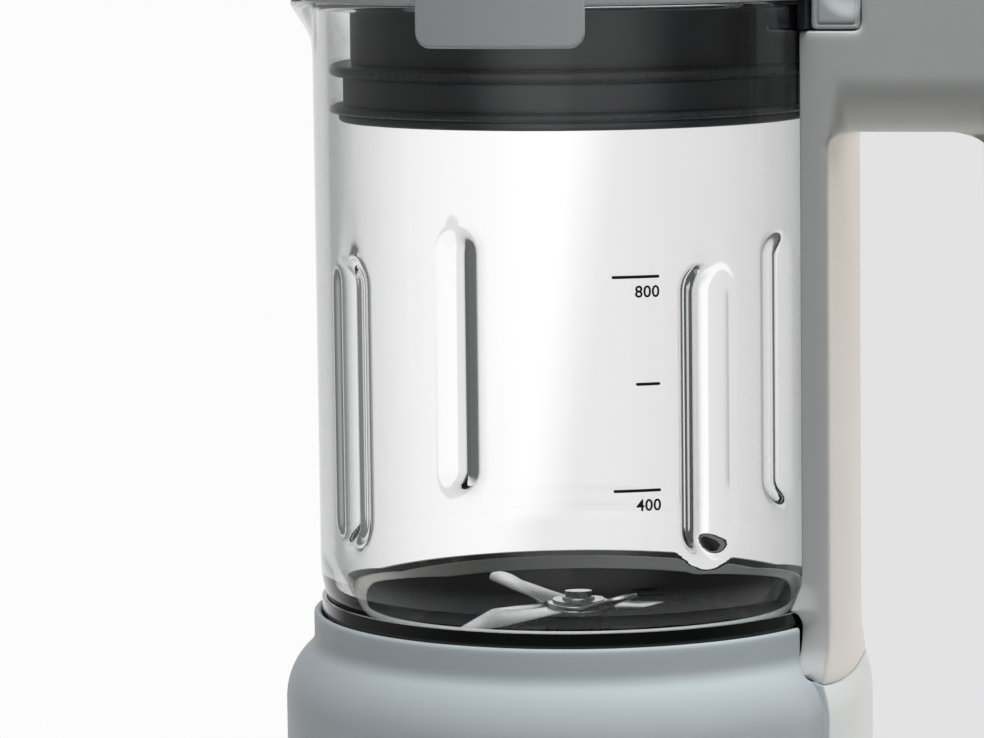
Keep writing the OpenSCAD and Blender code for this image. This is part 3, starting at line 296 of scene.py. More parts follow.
# pressed carbon of the brushes: nearly black, sooty
carbonBlock = mouldedPlastic("pressed_carbon", "2c2c2e", "202022", 0.5, 0.25, 0.6)
# satin stainless steel of shafts and the nut: even soft glints
stainlessSteel = metal("stainless_steel_satin", "d9dadb", "c9cacc", 0.24, 0.25)
# blades: sheet steel ground along the wing, so highlights stretch and edges glint
groundSteel = metal("stainless_steel_ground", "fafafa", "f2f3f3", 0.24, 0.18, (1, 1, 6), 0.25)
# zinc-plated steel of the screws: cool grey, slightly mottled
zincSteel = metal("steel_zinc_plated", "c4c6c8", "b2b5b8", 0.32, 0.5)
# stamped brass of contacts and bearings: yellow, satin
brass = metal("brass_stamped", "d6b36c", "c5a05a", 0.3, 0.5)
# die-cast aluminium of the motor frame: pale grey, dull
aluminium = metal("aluminium_die_cast", "c2c4c6", "b0b3b6", 0.42, 0.6)
# electrical steel in stacked sheets: fine lines across the stack
statorSteel = metal("electrical_steel_laminated", "8b8f93", "767a7e", 0.45, 0.5, (0.1, 0.1, 1), 0.8)
# enamelled copper of the coils: warm brown, wound lines
copperWire = metal("copper_enamelled", "c4804a", "a9652f", 0.28, 0.6, (1, 1, 1), 0.8)


def blackEnamel():
    # porcelain enamel over a steel pan: deep black with a faint mirror and flow marks
    material, tree = newMaterial("porcelain_enamel_black")
    flow = noiseAt(tree, 14, 2)
    specks = noiseAt(tree, 0.8, 4)  # dust and scour marks, about 0.8 mm
    dusty = addNode(tree, "ShaderNodeMapRange",
                    {"From Min": 0.66, "From Max": 0.74, "To Min": 0.05, "To Max": 0.3},
                    {"Value": specks.outputs["Fac"]})
    relief = addNode(tree, "ShaderNodeBump", {"Strength": 0.12, "Distance": 0.08 * mm},
                     {"Height": flow.outputs["Fac"]})
    tone = addNode(tree, "ShaderNodeMix", {"data_type": "RGBA"})
    tone.inputs[6].default_value = linear("08090b")
    tone.inputs[7].default_value = linear("0f1114")
    tree.links.new(specks.outputs["Fac"], tone.inputs[0])
    gloss = addNode(tree, "ShaderNodeBsdfPrincipled", {"IOR": 1.55},
                    {"Base Color": tone.outputs[2], "Roughness": dusty.outputs[0],
                     "Normal": relief.outputs[0]})
    dull = addNode(tree, "ShaderNodeBsdfDiffuse", {"Roughness": 0.5}, {"Color": tone.outputs[2]})
    shader = addNode(tree, "ShaderNodeMixShader", {0: 0.92},
                     {1: gloss.outputs[0], 2: dull.outputs[0]})
    closeSurface(tree, shader.outputs[0])
    return material


def jugGlass():
    # borosilicate pressed in a mould: clear and slightly wavy, with painted shade that turns its
    # tint dark grey where the eye looks along it
    material, tree = newMaterial("borosilicate_glass_painted_edge_shade")
    wave = noiseAt(tree, 22, 1, (1, 1, 0.35))
    relief = addNode(tree, "ShaderNodeBump", {"Strength": 0.1, "Distance": 0.1 * mm},
                     {"Height": wave.outputs["Fac"]})
    # painted shade: the tint darkens towards grazing angles, standing in for the dark edges that
    # refraction shows
    side = addNode(tree, "ShaderNodeLayerWeight", {"Blend": 0.5})
    paintedEdgeShade = addNode(tree, "ShaderNodeMath", {"operation": "POWER", 1: 1.8},
                      {0: side.outputs["Facing"]})
    tone = addNode(tree, "ShaderNodeMix", {"data_type": "RGBA"})
    tone.inputs[6].default_value = linear("ffffff")
    tone.inputs[7].default_value = linear("2a2e30")
    tree.links.new(paintedEdgeShade.outputs[0], tone.inputs[0])
    clear = addNode(tree, "ShaderNodeBsdfPrincipled",
                    {"IOR": 1.47, "Transmission Weight": 1.0, "Roughness": 0.0},
                    {"Base Color": tone.outputs[2], "Normal": relief.outputs[0]})
    through = addNode(tree, "ShaderNodeBsdfTransparent", {"Color": linear("f4f6f6")})
    ray = addNode(tree, "ShaderNodeLightPath")
    lamps = addNode(tree, "ShaderNodeMath", {"operation": "MAXIMUM"})
    tree.links.new(ray.outputs["Is Shadow Ray"], lamps.inputs[0])
    tree.links.new(ray.outputs["Is Diffuse Ray"], lamps.inputs[1])
    # light that has gone round inside the wall many times leaves it straight on
    trapped = addNode(tree, "ShaderNodeMath", {"operation": "GREATER_THAN", 1: 3.5},
                      {0: ray.outputs["Ray Depth"]})
    passing = addNode(tree, "ShaderNodeMath", {"operation": "MAXIMUM"},
                      {0: lamps.outputs[0], 1: trapped.outputs[0]})
    mixed = addNode(tree, "ShaderNodeMixShader", None,
                    {0: passing.outputs[0], 1: clear.outputs[0], 2: through.outputs[0]})
    closeSurface(tree, mixed.outputs[0])
    return material


def scaleInk():
    # screen-printed ceramic ink, with pinholes as fine as the mesh of the screen
    material, tree = newMaterial("ceramic_ink_black")
    grit = noiseAt(tree, 0.25, 2)
    tone = addNode(tree, "ShaderNodeMix", {"data_type": "RGBA"})
    tone.inputs[6].default_value = linear("101113")
    tone.inputs[7].default_value = linear("1d1f22")
    tree.links.new(grit.outputs["Fac"], tone.inputs[0])
    shader = addNode(tree, "ShaderNodeBsdfPrincipled", {"Roughness": 0.45},
                     {"Base Color": tone.outputs[2]})
    closeSurface(tree, shader.outputs[0])
    return material


def lensPlastic():
    # frosted polycarbonate light pipe
    material, tree = newMaterial("polycarbonate_frosted")
    frost = noiseAt(tree, 0.3, 2)
    rough = addNode(tree, "ShaderNodeMapRange", {"To Min": 0.25, "To Max": 0.45},
                    {"Value": frost.outputs["Fac"]})
    tone = addNode(tree, "ShaderNodeMix", {"data_type": "RGBA"})
    tone.inputs[6].default_value = linear("e9f6ee")
    tone.inputs[7].default_value = linear("dff0e6")
    tree.links.new(frost.outputs["Fac"], tone.inputs[0])
    shader = addNode(tree, "ShaderNodeBsdfPrincipled", {"IOR": 1.58, "Transmission Weight": 0.35},
                     {"Base Color": tone.outputs[2], "Roughness": rough.outputs[0]})
    closeSurface(tree, shader.outputs[0])
    return material


enamel = blackEnamel()
glass = jugGlass()
ink = scaleInk()
lens = lensPlastic()

nodeFinish = {
    "base_housing": housingAbs, "bottom_cover": darkPlastic, "foot_ring": footRubber,
    "bottom_screws": zincSteel, "control_panel": panelAbs, "indicator_lens": lens,
    "control_board": boardLaminate, "selector_switch": switchPlastic,
    "start_switch": switchPlastic, "power_board": boardLaminate, "base_socket": blackAbs,
    "socket_contacts": brass, "cord_gland": grommetRubber, "motor_frame_top": aluminium,
    "motor_frame_bottom": aluminium, "motor_stator": statorSteel, "field_coils": copperWire,
    "motor_bolts": zincSteel, "brush_holders": brass, "carbon_brushes": carbonBlock,
    "upper_bearing": brass, "lower_bearing": brass, "motor_mounts": footRubber,
    "mount_screws": zincSteel, "motor_shaft": stainlessSteel, "motor_rotor": statorSteel,
    "commutator": copperWire, "cooling_fan": nylonPlastic, "drive_coupling": darkPlastic,
    "glass_jug": glass, "heater_plate": enamel, "plate_gasket": sealSilicone,
    "heating_element": stainlessSteel, "thermostat": steatite, "jug_base": blackAbs,
    "jug_base_cover": darkPlastic, "jug_base_screws": zincSteel, "jug_plug": blackAbs,
    "plug_pins": brass, "bearing_housing": stainlessSteel, "bearing_bushes": brass,
    "shaft_seal": sealSilicone, "handle_body": handleAbs, "handle_cover": handleAbs,
    "handle_screws": zincSteel, "reed_switch": nylonPlastic, "blade_shaft": stainlessSteel,
    "lower_blade": groundSteel, "upper_blade": groundSteel, "blade_washer": stainlessSteel,
    "blade_nut": stainlessSteel, "driven_coupling": darkPlastic, "lid_cover": lidAbs,
    "lid_plug": plugPp, "lid_seals": sealSilicone, "lid_magnet": zincSteel,
    "feed_cap": lidAbs, "cap_seal": sealSilicone, "knob": knobAbs, "start_button": buttonAbs,
}
for nodeName, material in nodeFinish.items():
    node = nodes[nodeName]
    node.data.materials.clear()
    node.data.materials.append(material)
print("finishes assigned")


# the housing: one turned shell, then the pad and the notch under the handle

housing = dict(radius=64.4, inside=62.0, collar=58.1, well=56.5, shoulder=14.96,
               shoulderZ=90.5, collarZ=110.0, deckZ=69.0, deckLow=66.5, footZ=2.5,
               edge=2.0, neckFillet=4.0)

# half width of the notch in the shoulder, by height
notchWidth = [(98.9, 23.4), (100.0, 23.2), (101.0, 22.6), (102.0, 21.6), (103.0, 20.6),
              (104.5, 19.9)]
# outer face of the pad, by height
padFace = [(74.0, 61.0), (91.0, 61.0), (93.0, 60.85), (95.0, 60.5), (96.5, 60.15),
           (98.1, 59.65), (98.3, 59.3), (98.9, 57.8)]
# half width of the pad, by height
padWidth = [(74.0, 24.1), (88.0, 24.1), (93.0, 23.6), (98.7, 23.3)]


def shoulderOutline():
    h = housing
    centre = h["radius"] - h["shoulder"]
    far = h["shoulder"] + h["neckFillet"]
    filletR = h["collar"] + h["neckFillet"]
    filletZ = h["shoulderZ"] + math.sqrt(far ** 2 - (filletR - centre) ** 2)
    lean = math.atan2(filletZ - h["shoulderZ"], filletR - centre)
    heights = [h["shoulderZ"] + h["shoulder"] * math.sin(lean * k / 14) for k in range(1, 15)]
    # rows that the seat of the handle needs
    wanted = [98.1, 98.3, 98.9]
    heights = sorted([z for z in heights if min(abs(z - w) for w in wanted) > 0.35] + wanted)
    rows = [(centre + math.sqrt(h["shoulder"] ** 2 - (z - h["shoulderZ"]) ** 2), z)
            for z in heights]
    for k in range(1, 7):
        a = math.pi + lean * (1 - k / 6)
        rows.append((filletR + h["neckFillet"] * math.cos(a),
                     filletZ + h["neckFillet"] * math.sin(a)))
    return rows


def makeHousing():
    h = housing
    outline = [(h["inside"], h["footZ"])]
    for k in range(7):
        a = math.pi / 2 * k / 6
        outline.append((h["radius"] - h["edge"] * (1 - math.sin(a)),
                        h["footZ"] + h["edge"] * (1 - math.cos(a))))
    outline += [(h["radius"], z) for z in (9, 12, 20, 30, 40, 50, 60, 68, 72, 73)]
    outline += [(h["radius"], 74 + k * 0.75) for k in range(22)]
    shoulder = shoulderOutline()
    outline += shoulder
    outline += [(h["collar"], z) for z in (105.6, 107.0, 108.3)]
    lip = (h["collar"] - h["well"]) / 2
    for k in range(7):
        a = math.pi * k / 6
        outline.append((h["well"] + lip + lip * math.cos(a),
                        h["collarZ"] - lip + lip * math.sin(a)))
    outline += [(h["well"], z) for z in (107.0, 104.5, 103.0, 102.0, 101.0, 100.0, 98.9, 90, 80)]
    outline += [(h["well"], h["deckZ"]), (10.5, h["deckZ"]), (10.5, h["deckZ"] + 1.2),
                (9.0, h["deckZ"] + 1.2), (9.0, h["deckZ"]), (5.0, h["deckZ"]),
                (5.0, h["deckLow"]), (h["inside"], h["deckLow"]), (h["inside"], 40)]
    shell = turnOutline("housing_shell", outline, 360)

    def shapePad(x, y, z):
        r = math.hypot(x, y)
        angle = math.degrees(math.atan2(y, x))
        k = round(abs(angle))
        side = 1 if y >= 0 else -1
        if k > 30 or z < 73.9 or r < h["well"] - 0.1:
            return x, y, z
        if z > 99.0 or r < h["collar"] - 0.1:
            # the notch's edge falls on column 20, and the collar's end curls in before it
            edge = blendRows(notchWidth, z)
            turn = math.degrees(math.asin(edge / r))
            past = (0, 0.25, 0.7, 1.4, 2.3, 3.3, 4.4, 5.6, 6.9, 8.3)
            if k <= 20:
                a = turn * k / 20
            elif k < 30:
                a = turn + past[k - 20] * (30 - turn) / 9.8
            else:
                a = 30
            if k >= 20 and r > h["well"] + 0.9:
                curl = max(1 - (a - turn) / 3.2, 0)
                r -= 0.95 * (1 - math.sqrt(max(1 - curl * curl, 0)))
            a = math.radians(a) * side
            return r * math.cos(a), r * math.sin(a), z
        half = blendRows(padWidth, z)
        face = blendRows(padFace, z)
        foot = math.asin(half / r)
        footX = r * math.cos(foot)
        if k <= 17:
            px, py = face, (half - 0.7) * k / 17
        elif k == 18:
            px, py = face - 0.05, half - 0.3
        elif k == 19:
            px, py = face - 0.3, half - 0.04
        elif k == 20:
            px, py = (face - 0.3 + footX) / 2, half
        elif k == 21:
            px, py = footX + 0.08, half
        else:
            a = foot + 0.004 + (math.radians(30) - foot) * (k - 22) / 8
            px, py = r * math.cos(a), r * math.sin(a)
        middle = 1 - min(py / half, 1) ** 2
        if k <= 19:
            px += 0.95 * middle
        lift = 1.8 * middle * smoothStep(90, 98.1, z) if r > h["collar"] - 0.1 else 0
        share = smoothStep(74.0, 77.5, z)
        a = math.radians(k)
        px = r * math.cos(a) * (1 - share) + px * share
        py = r * math.sin(a) * (1 - share) + py * share
        return px, py * side, z - lift

    moveVertices(shell, shapePad)

    # open the notch and close its cut sides
    activate(shell)
    bpy.ops.object.mode_set(mode="EDIT")
    bpy.ops.mesh.select_mode(type="FACE")
    bpy.ops.mesh.select_all(action="DESELECT")
    bpy.ops.object.mode_set(mode="OBJECT")
    for face in shell.data.polygons:
        c = face.center / mm
        sunk = max(1 - (c.y / blendRows(padWidth, 98.9)) ** 2, 0)
        if c.z > 98.9 - 1.5 * sunk and c.x > 0 and abs(math.degrees(math.atan2(c.y, c.x))) < 26:
            edge = blendRows(notchWidth, c.z)
            face.select = abs(c.y) < edge and math.hypot(c.x, c.y) > h["well"] - 0.6
    bpy.ops.object.mode_set(mode="EDIT")
    bpy.ops.mesh.delete(type="FACE")
    bpy.ops.mesh.select_mode(type="EDGE")
    bpy.ops.mesh.select_all(action="DESELECT")
    bpy.ops.mesh.select_non_manifold(extend=False, use_wire=False, use_multi_face=False,
                                     use_non_contiguous=False, use_verts=False)
    bpy.ops.object.mode_set(mode="OBJECT")
    rim = shell.data.vertices
    for edge in shell.data.edges:
        edge.select = edge.select and max(rim[v].co.z for v in edge.vertices) < 98.95 * mm
    bpy.ops.object.mode_set(mode="EDIT")
    bpy.ops.mesh.bridge_edge_loops()
    bpy.ops.mesh.select_all(action="SELECT")
    bpy.ops.mesh.fill_holes(sides=0)
    bpy.ops.mesh.select_all(action="SELECT")
    bpy.ops.mesh.normals_make_consistent(inside=False)
    bpy.ops.mesh.select_mode(type="VERT")
    bpy.ops.object.mode_set(mode="OBJECT")
    return shell


housingShell = makeHousing()
# recess of the control panel
panelRecess = dict(radius=17, middleZ=40, straight=12, front=80, floor=61.82)
slotEnds = []
for k in range(96):
    a = 2 * math.pi * k / 96
    end = math.copysign(panelRecess["straight"], math.sin(a) + 1e-9)
    slotEnds.append((panelRecess["radius"] * math.cos(a), -panelRecess["front"],
                     panelRecess["middleZ"] + end + panelRecess["radius"] * math.sin(a)))
recess = raiseOutline("recess_cutter", slotEnds,
                      (0, panelRecess["front"] - panelRecess["floor"], 0))
cutWith(housingShell, recess)
finishPiece(housingShell, housingAbs, "base", "housing", "base_housing")
print("housing made")


# glass jug

jug = dict(radius=56.5, wall=3.1, cornerR=24.0, cornerZ=121.0, hole=42.0, rimZ=243.0, heelR=23.4,
           steps=480, ribLow=133.3, ribHigh=183.7, grooveWidth=5.6, grooveDepth=3.5,
           ridgeWidth=7.8, ridgeHeight=3.6, spoutOut=7.8, spoutDrop=12.5, spoutHalf=23.5)


def makeJug():
    j = jug
    centre = j["radius"] - j["cornerR"]
    inside = j["radius"] - j["wall"]
    straight = [124.0, 125.6] + [127.2 + k * 0.95 for k in range(12)]
    straight += [141, 146, 151, 156, 161, 166, 171, 176] + [179.5 + k * 0.95 for k in range(12)]
    straight += [195, 203, 213, 223, 229] + [230.5 + k * 1.0 for k in range(12)]
    outline = []
    low = math.asin((j["hole"] - centre) / j["cornerR"])
    for k in range(15):
        a = low + (math.pi / 2 - low) * k / 14
        outline.append((centre + j["cornerR"] * math.sin(a),
                        j["cornerZ"] - j["cornerR"] * math.cos(a)))
    outline += [(j["radius"], z) for z in straight]
    half = j["wall"] / 2
    for k in range(9):
        a = math.pi * k / 8
        outline.append((inside + half + half * math.cos(a), j["rimZ"] - half + half * math.sin(a)))
    outline += [(inside, z) for z in reversed(straight)]
    # the inner corner is fuller, which leaves a thick heel of glass
    heel = j["heelR"]
    innerCentre, innerZ = inside - heel, 123.5
    low = math.asin((j["hole"] - innerCentre) / heel)
    for k in range(17):
        a = math.pi / 2 + (low - math.pi / 2) * k / 16
        outline.append((innerCentre + heel * math.sin(a), innerZ - heel * math.cos(a)))
    jugShell = turnOutline("jug_glass", outline, j["steps"])

    def press(x, y, z):
        r = math.hypot(x, y)
        if r < 45 or z < 122:
            return x, y, z
        angle = math.atan2(y, x)
        outer = min(max((r - inside) / j["wall"], 0), 1)
        move = 0
        for quarter in (45, 135, 225, 315):
            turn = (math.degrees(angle) - quarter + 180) % 360 - 180
            across = abs(math.radians(turn)) * 55
            along = max(j["ribLow"] - z, z - j["ribHigh"], 0)
            away = math.hypot(across, along)
            groove = 0.5 + 0.5 * math.cos(math.pi * min(away / j["grooveWidth"], 1))
            ridge = 0.5 + 0.5 * math.cos(math.pi * min(away / j["ridgeWidth"], 1))
            move -= outer * j["grooveDepth"] * groove + (1 - outer) * j["ridgeHeight"] * ridge
        turn = abs((math.degrees(angle)) % 360 - 180)
        if turn < j["spoutHalf"]:
            lobe = 0.5 + 0.5 * math.cos(math.pi * turn / j["spoutHalf"])
            rise = smoothStep(j["rimZ"] - j["spoutDrop"], j["rimZ"] + 2.5, z)
            move += j["spoutOut"] * lobe * rise / smoothStep(0, 15, 12.5)
        return (r + move) * math.cos(angle), (r + move) * math.sin(angle), z

    moveVertices(jugShell, press)
    return jugShell


jugShell = makeJug()
finishPiece(jugShell, glass, "jug", "glass", "glass_jug", angle=60)
print("jug made,", len(jugShell.data.polygons), "faces")


# printed scale

marks = dict(radius=56.5, proud=0.04, start=22.6, shortStart=27.6, end=32.9, width=0.62,
             long=(187.3, 142.8), short=(165.0, 120.9), digits=((187.3, "800"), (142.8, "400")),
             digitHeight=2.45, digitDrop=3.2)


def wrapOnGlass(obj):
    # x runs round the glass from the front, y is the depth, z the height
    def wrap(x, y, z):
        a = x / marks["radius"]
        r = marks["radius"] + marks["proud"] - y
        if z < jug["cornerZ"]:
            r -= jug["cornerR"] - math.sqrt(jug["cornerR"] ** 2 - (jug["cornerZ"] - z) ** 2)
        return r * math.sin(a), -r * math.cos(a), z
    moveVertices(obj, wrap)


def arcLength(angle):
    return math.radians(angle) * marks["radius"]


def makeStroke(name, start, end, z):
    w = marks["width"] / 2
    a, b = arcLength(start), arcLength(end)
    points = [(b - w + w * math.sin(t), 0, z - w * math.cos(t)) for t in
              [math.pi * k / 8 for k in range(9)]]
    top = [(a + (b - a) * k / 12, 0, z + w) for k in range(11, 0, -1)]
    left = [(a + w - w * math.sin(t), 0, z + w * math.cos(t)) for t in
            [math.pi * k / 8 for k in range(9)]]
    bottom = [(a + (b - a) * k / 12, 0, z - w) for k in range(1, 12)]
    stroke = raiseOutline(name, points + top + left + bottom, (0, 0.06, 0))
    activate(stroke)
    bpy.ops.object.mode_set(mode="EDIT")
    bpy.ops.mesh.select_all(action="SELECT")
    bpy.ops.mesh.quads_convert_to_tris()
    bpy.ops.object.mode_set(mode="OBJECT")
    wrapOnGlass(stroke)
    return stroke


def makeDigits(name, words, z):
    clearSelection()
    bpy.ops.object.text_add(rotation=(math.pi / 2, 0, 0))
    text = bpy.context.object
    text.name = name
    text.data.body = words
    text.data.align_x = "RIGHT"
    text.data.align_y = "CENTER"
    text.data.size = marks["digitHeight"] * mm / 0.72
    text.data.extrude = 0.03 * mm
    text.data.offset = 0.06 * mm
    text.data.space_character = 1.06
    text.data.resolution_u = 6
    text.location = (arcLength(marks["end"]) * mm, 0.03 * mm, (z - marks["digitDrop"]) * mm)
    bpy.ops.object.convert(target="MESH")
    bpy.ops.object.transform_apply(location=True, rotation=True, scale=True)
    digits = bpy.context.object
    digits.data.name = name
    wrapOnGlass(digits)
    return digits


scaleParts = [makeStroke("mark_long_%d" % i, marks["start"], marks["end"], z)
              for i, z in enumerate(marks["long"])]
scaleParts += [makeStroke("mark_short_%d" % i, marks["shortStart"], marks["end"], z)
               for i, z in enumerate(marks["short"])]
scaleParts += [makeDigits("digits_" + words, words, z) for z, words in marks["digits"]]
for part in scaleParts:
    finishPiece(part, ink, "jug", "glass")
print("scale printed")


# the heated floor: a pressed pan with a rolled rim

def panArc(radius, first, last):
    # nine points of a circle round the pan's corner centre, between two angles in degrees
    angles = [math.radians(first + (last - first) * k / 8) for k in range(9)]
    return [(30.0 + radius * math.sin(a), 123.5 - radius * math.cos(a)) for a in angles]


def makePan():
    upper = panArc(22.0, 29, 53.5)
    lower = panArc(22.9, 53, 30)
    outline = [(7.7, 99.4), (39.6, 99.4), (40.6, 100.6), (40.8, 102.0)] + lower[::-1]
    outline += upper[::-1] + [(39.6, 102.9), (38.9, 102.1), (38.0, 101.5), (36.8, 101.1),
                              (35.0, 101.0), (7.7, 101.0)]
    return turnOutline("heater_pan", outline, 240)


pan = makePan()
finishPiece(pan, enamel, "jug", "enamel", "heater_plate", angle=50)
print("pan made")


# lid: plug, seals, top, tabs and lug

def makePlug():
    corners = [(21, 217.3, 0.5), (51, 217.3, 0.9), (51, 219, 0.25), (46.75, 219, 0),
               (46.75, 220.8, 0), (50, 220.8, 0.3), (50, 227, 0.3), (46.75, 227, 0),
               (46.75, 229.7, 0), (48.3, 229.7, 0.3), (48.3, 243.3, 0.8), (56.7, 243.3, 0.4),
               (56.7, 245.9, 0.5), (45.1, 245.9, 0.4), (45.1, 219.7, 1.0), (23.2, 219.7, 1.0),
               (23.2, 245.9, 0.4), (21, 245.9, 0.4)]
    return turnOutline("lid_plug_body", softCorners(corners, 4), 240)


def makeSeal(name, low, high, lip):
    corners = [(46.8, low, 0), (49.6, low, 0.4), (52.2, low + 0.25, 0.5), (53.1, low + lip, 0.9),
               (52.9, high - 0.1, 0.8), (50.2, high, 0.6), (46.8, high, 0)]
    return turnOutline(name, softCorners(corners, 5), 240)


plugBody = makePlug()
finishPiece(plugBody, plugPp, "lid", "plug_grey", "lid_plug")
seals = [("seal_upper", 227.05, 229.65, 0.9), ("seal_lower", 219.05, 220.75, 0.6)]
for name, low, high, lip in seals:
    finishPiece(makeSeal(name, low, high, lip), sealSilicone, "lid", "silicone", "lid_seals")


def arcPiece(name, corners, first, last):
    # part of a turned ring, kept between two angles in degrees that span less than 180
    ring = turnOutline(name, softCorners(corners, 4), 240)
    activate(ring)
    bpy.ops.object.mode_set(mode="EDIT")
    for angle, side in ((first, 1), (last, -1)):
        a = math.radians(angle)
        bpy.ops.mesh.select_all(action="SELECT")
        bpy.ops.mesh.bisect(plane_co=(0, 0, 0.2),
                            plane_no=(side * math.sin(a), -side * math.cos(a), 0),
                            use_fill=True, clear_outer=True)
    bpy.ops.mesh.select_all(action="SELECT")
    bpy.ops.mesh.normals_make_consistent(inside=False)
    bpy.ops.object.mode_set(mode="OBJECT")
    return ring


# beside the handle a near-black block is painted shade, for the shadow seen there through the
# glass; the plug also hooks over the rim behind the lug
plugShadeBlock = arcPiece("plug_shade_block", [(47.9, 229.75, 0), (53.0, 229.75, 0.6), (53.0, 243.2, 0.3),
                                  (47.9, 243.2, 0)], -30, 45)
plugHook = arcPiece("plug_hook", [(56.85, 236.9, 0.2), (58.6, 236.9, 0.5), (58.6, 243.4, 0),
                                  (56.85, 243.4, 0)], -19, 19)
for piece in (plugShadeBlock, plugHook):
    finishPiece(piece, plugPp, "lid", "plug_grey", "lid_plug")

lid = dict(radius=59.5, low=243.3, high=255.0, edge=4.0, wall=2.4, feed=21.0,
           spoutX=46.0, spoutR=19.6)


def makeLidTop():
    l = lid
    inner = l["radius"] - l["wall"]
    corners = [(l["radius"], l["low"], 0.5), (l["radius"], l["high"], l["edge"]),
               (l["feed"], l["high"], 0.7), (l["feed"], 246.3, 0.3), (45.1, 246.3, 0.3),
               (45.1, 252.6, 0.4), (inner, 252.6, 1.6), (inner, l["low"], 0.4)]
    outline = softCorners(corners, 8)
    # extra rows on the outer wall, where the spout's hood swells
    first = outline.index(max(outline[:12], key=lambda p: (p[0], p[1])))
    outline[first + 1:first + 1] = [(l["radius"], 244.8 + k) for k in range(6)]
    top = turnOutline("lid_top", outline, 360)

    def hood(x, y, z):
        r, a = math.hypot(x, y), math.atan2(y, x)
        turn = abs(math.degrees(a)) - 180
        if r < inner - 3 or abs(turn) > 32:
            return x, y, z
        t = math.radians(turn)
        reach = l["spoutR"] ** 2 - (l["spoutX"] * math.sin(t)) ** 2
        target = l["spoutX"] * math.cos(t) + math.sqrt(reach) if reach > 0 else 0
        grow = target - l["radius"]
        grow = (grow + math.sqrt(grow * grow + 1.2)) / 2 * smoothStep(32, 27, abs(turn))
        grow *= 1 - smoothStep(248.5, 254.6, z)
        return (r + grow) * math.cos(a), (r + grow) * math.sin(a), z

    moveVertices(top, hood)
    return top


lidTop = makeLidTop()
finishPiece(lidTop, lidAbs, "lid", "lid_grey", "lid_cover")

tab = dict(width=37.0, low=234.7, high=252.2, corner=3.4, outer=61.0, thick=3.2)


def makeTab(name, turn):
    # a plate with round lower corners, wrapped on the lid's side
    t = tab
    half = t["width"] / 2
    corners = [(-half, t["high"], 1.2), (-half, t["low"], t["corner"]),
               (half, t["low"], t["corner"]), (half, t["high"], 1.2)]
    clearSelection()
    bpy.ops.mesh.primitive_grid_add(x_subdivisions=60, y_subdivisions=28, size=1)
    plate = bpy.context.object
    plate.name = plate.data.name = name
    height = t["high"] - t["low"]

    def place(x, y, z):
        return x * mm * t["width"], 0, t["low"] + (y * mm + 0.5) * height

    moveVertices(plate, place)

    def roundCorner(x, y, z):
        cx, cz = half - t["corner"], t["low"] + t["corner"]
        dx, dz = abs(x) - cx, cz - z
        if dx > 0 and dz > 0:
            # squares the corner's grid onto a quarter disc
            far = max(dx, dz)
            length = math.hypot(dx, dz)
            if length > 0:
                dx, dz = dx * far / length, dz * far / length
            return math.copysign(cx + dx, x), y, cz - dz
        return x, y, z

    moveVertices(plate, roundCorner)
    activate(plate)
    bpy.ops.object.mode_set(mode="EDIT")
    bpy.ops.mesh.select_all(action="SELECT")
    bpy.ops.mesh.extrude_region_move(TRANSFORM_OT_translate={"value": (0, t["thick"] * mm, 0)})
    bpy.ops.mesh.select_all(action="SELECT")
    bpy.ops.mesh.normals_make_consistent(inside=False)
    bpy.ops.object.mode_set(mode="OBJECT")
    softenEdges(plate, 0.8, 4, 50)

    def wrap(x, y, z):
        # the upper part leans in to follow the lid's round edge
        r = t["outer"] - y - 1.4 * smoothStep(246.5, 252.5, z)
        a = x / t["outer"]
        return r * math.sin(a), -r * math.cos(a), z

    moveVertices(plate, wrap)
    turnMesh(plate, Matrix.Rotation(math.radians(turn), 4, "Z"))
    return plate


for name, turn in (("tab_front", 0), ("tab_back", 180)):
    finishPiece(makeTab(name, turn), lidAbs, "lid", "lid_grey", "lid_cover")

lug = dict(inner=50.0, reach=66.8, half=17.4, low=236.8, high=254.0, scoop=2.2, line=0.45)


def makeLug():
    g = lug
    clearSelection()
    bpy.ops.mesh.primitive_cube_add(size=1)
    block = bpy.context.object
    block.name = block.data.name = "lid_lug"
    middle = Vector((g["inner"] + g["reach"], 0, g["low"] + g["high"])) / 2
    size = Vector((g["reach"] - g["inner"], 2 * g["half"], g["high"] - g["low"]))
    turnMesh(block, Matrix.Translation(middle * mm) @ Matrix.Diagonal(size * mm).to_4x4())
    bore = turnOutline("lug_bore", [(0, 230), (58.8, 230), (58.8, 243.4), (0, 243.4)], 180)
    cutWith(block, bore)
    softenEdges(block, 1.1, 4, 40)
    applyModifier(block, "REMESH", mode="VOXEL", voxel_size=0.3 * mm)
    applyModifier(block, "SMOOTH", factor=0.5, iterations=3)

    def carve(x, y, z):
        depth = g["half"] - abs(y)
        if depth < 1.2 and x > 56.6:
            # thumb scoop on each side, and the engraved line round it
            dx, dz = (x - 64.5) / 7.0, (z - 247.0) / 8.0
            away = math.hypot(dx, dz)
            sink = g["scoop"] * smoothStep(1.0, 0.35, away)
            d = min(x - 57.7, z - 238.0, 65.9 - x)
            if d > -0.6:
                sink += g["line"] * (1 - smoothStep(0.12, 0.4, abs(d)))
            y -= math.copysign(sink * (1 - depth / 1.2), y)
        return x, y, z

    moveVertices(block, carve)
    return block


lidLug = makeLug()
finishPiece(lidLug, lidAbs, "lid", "lid_grey", "lid_cover", angle=60)
print("lid made")


# feed cap

def makeCap():
    corners = [(20.4, 218.3, 0.6), (20.4, 235.9, 0.2), (19.2, 235.9, 0), (19.2, 237.4, 0),
               (20.4, 237.4, 0.2), (20.4, 255.2, 0.3), (24.4, 255.2, 0.7), (24.4, 258.8, 1.4),
               (0.02, 258.8, 0), (0.02, 255.2, 0), (18.6, 255.2, 0.8), (18.6, 218.3, 0.6)]
    cap = turnOutline("cap_body", softCorners(corners, 5), 180)
    return cap


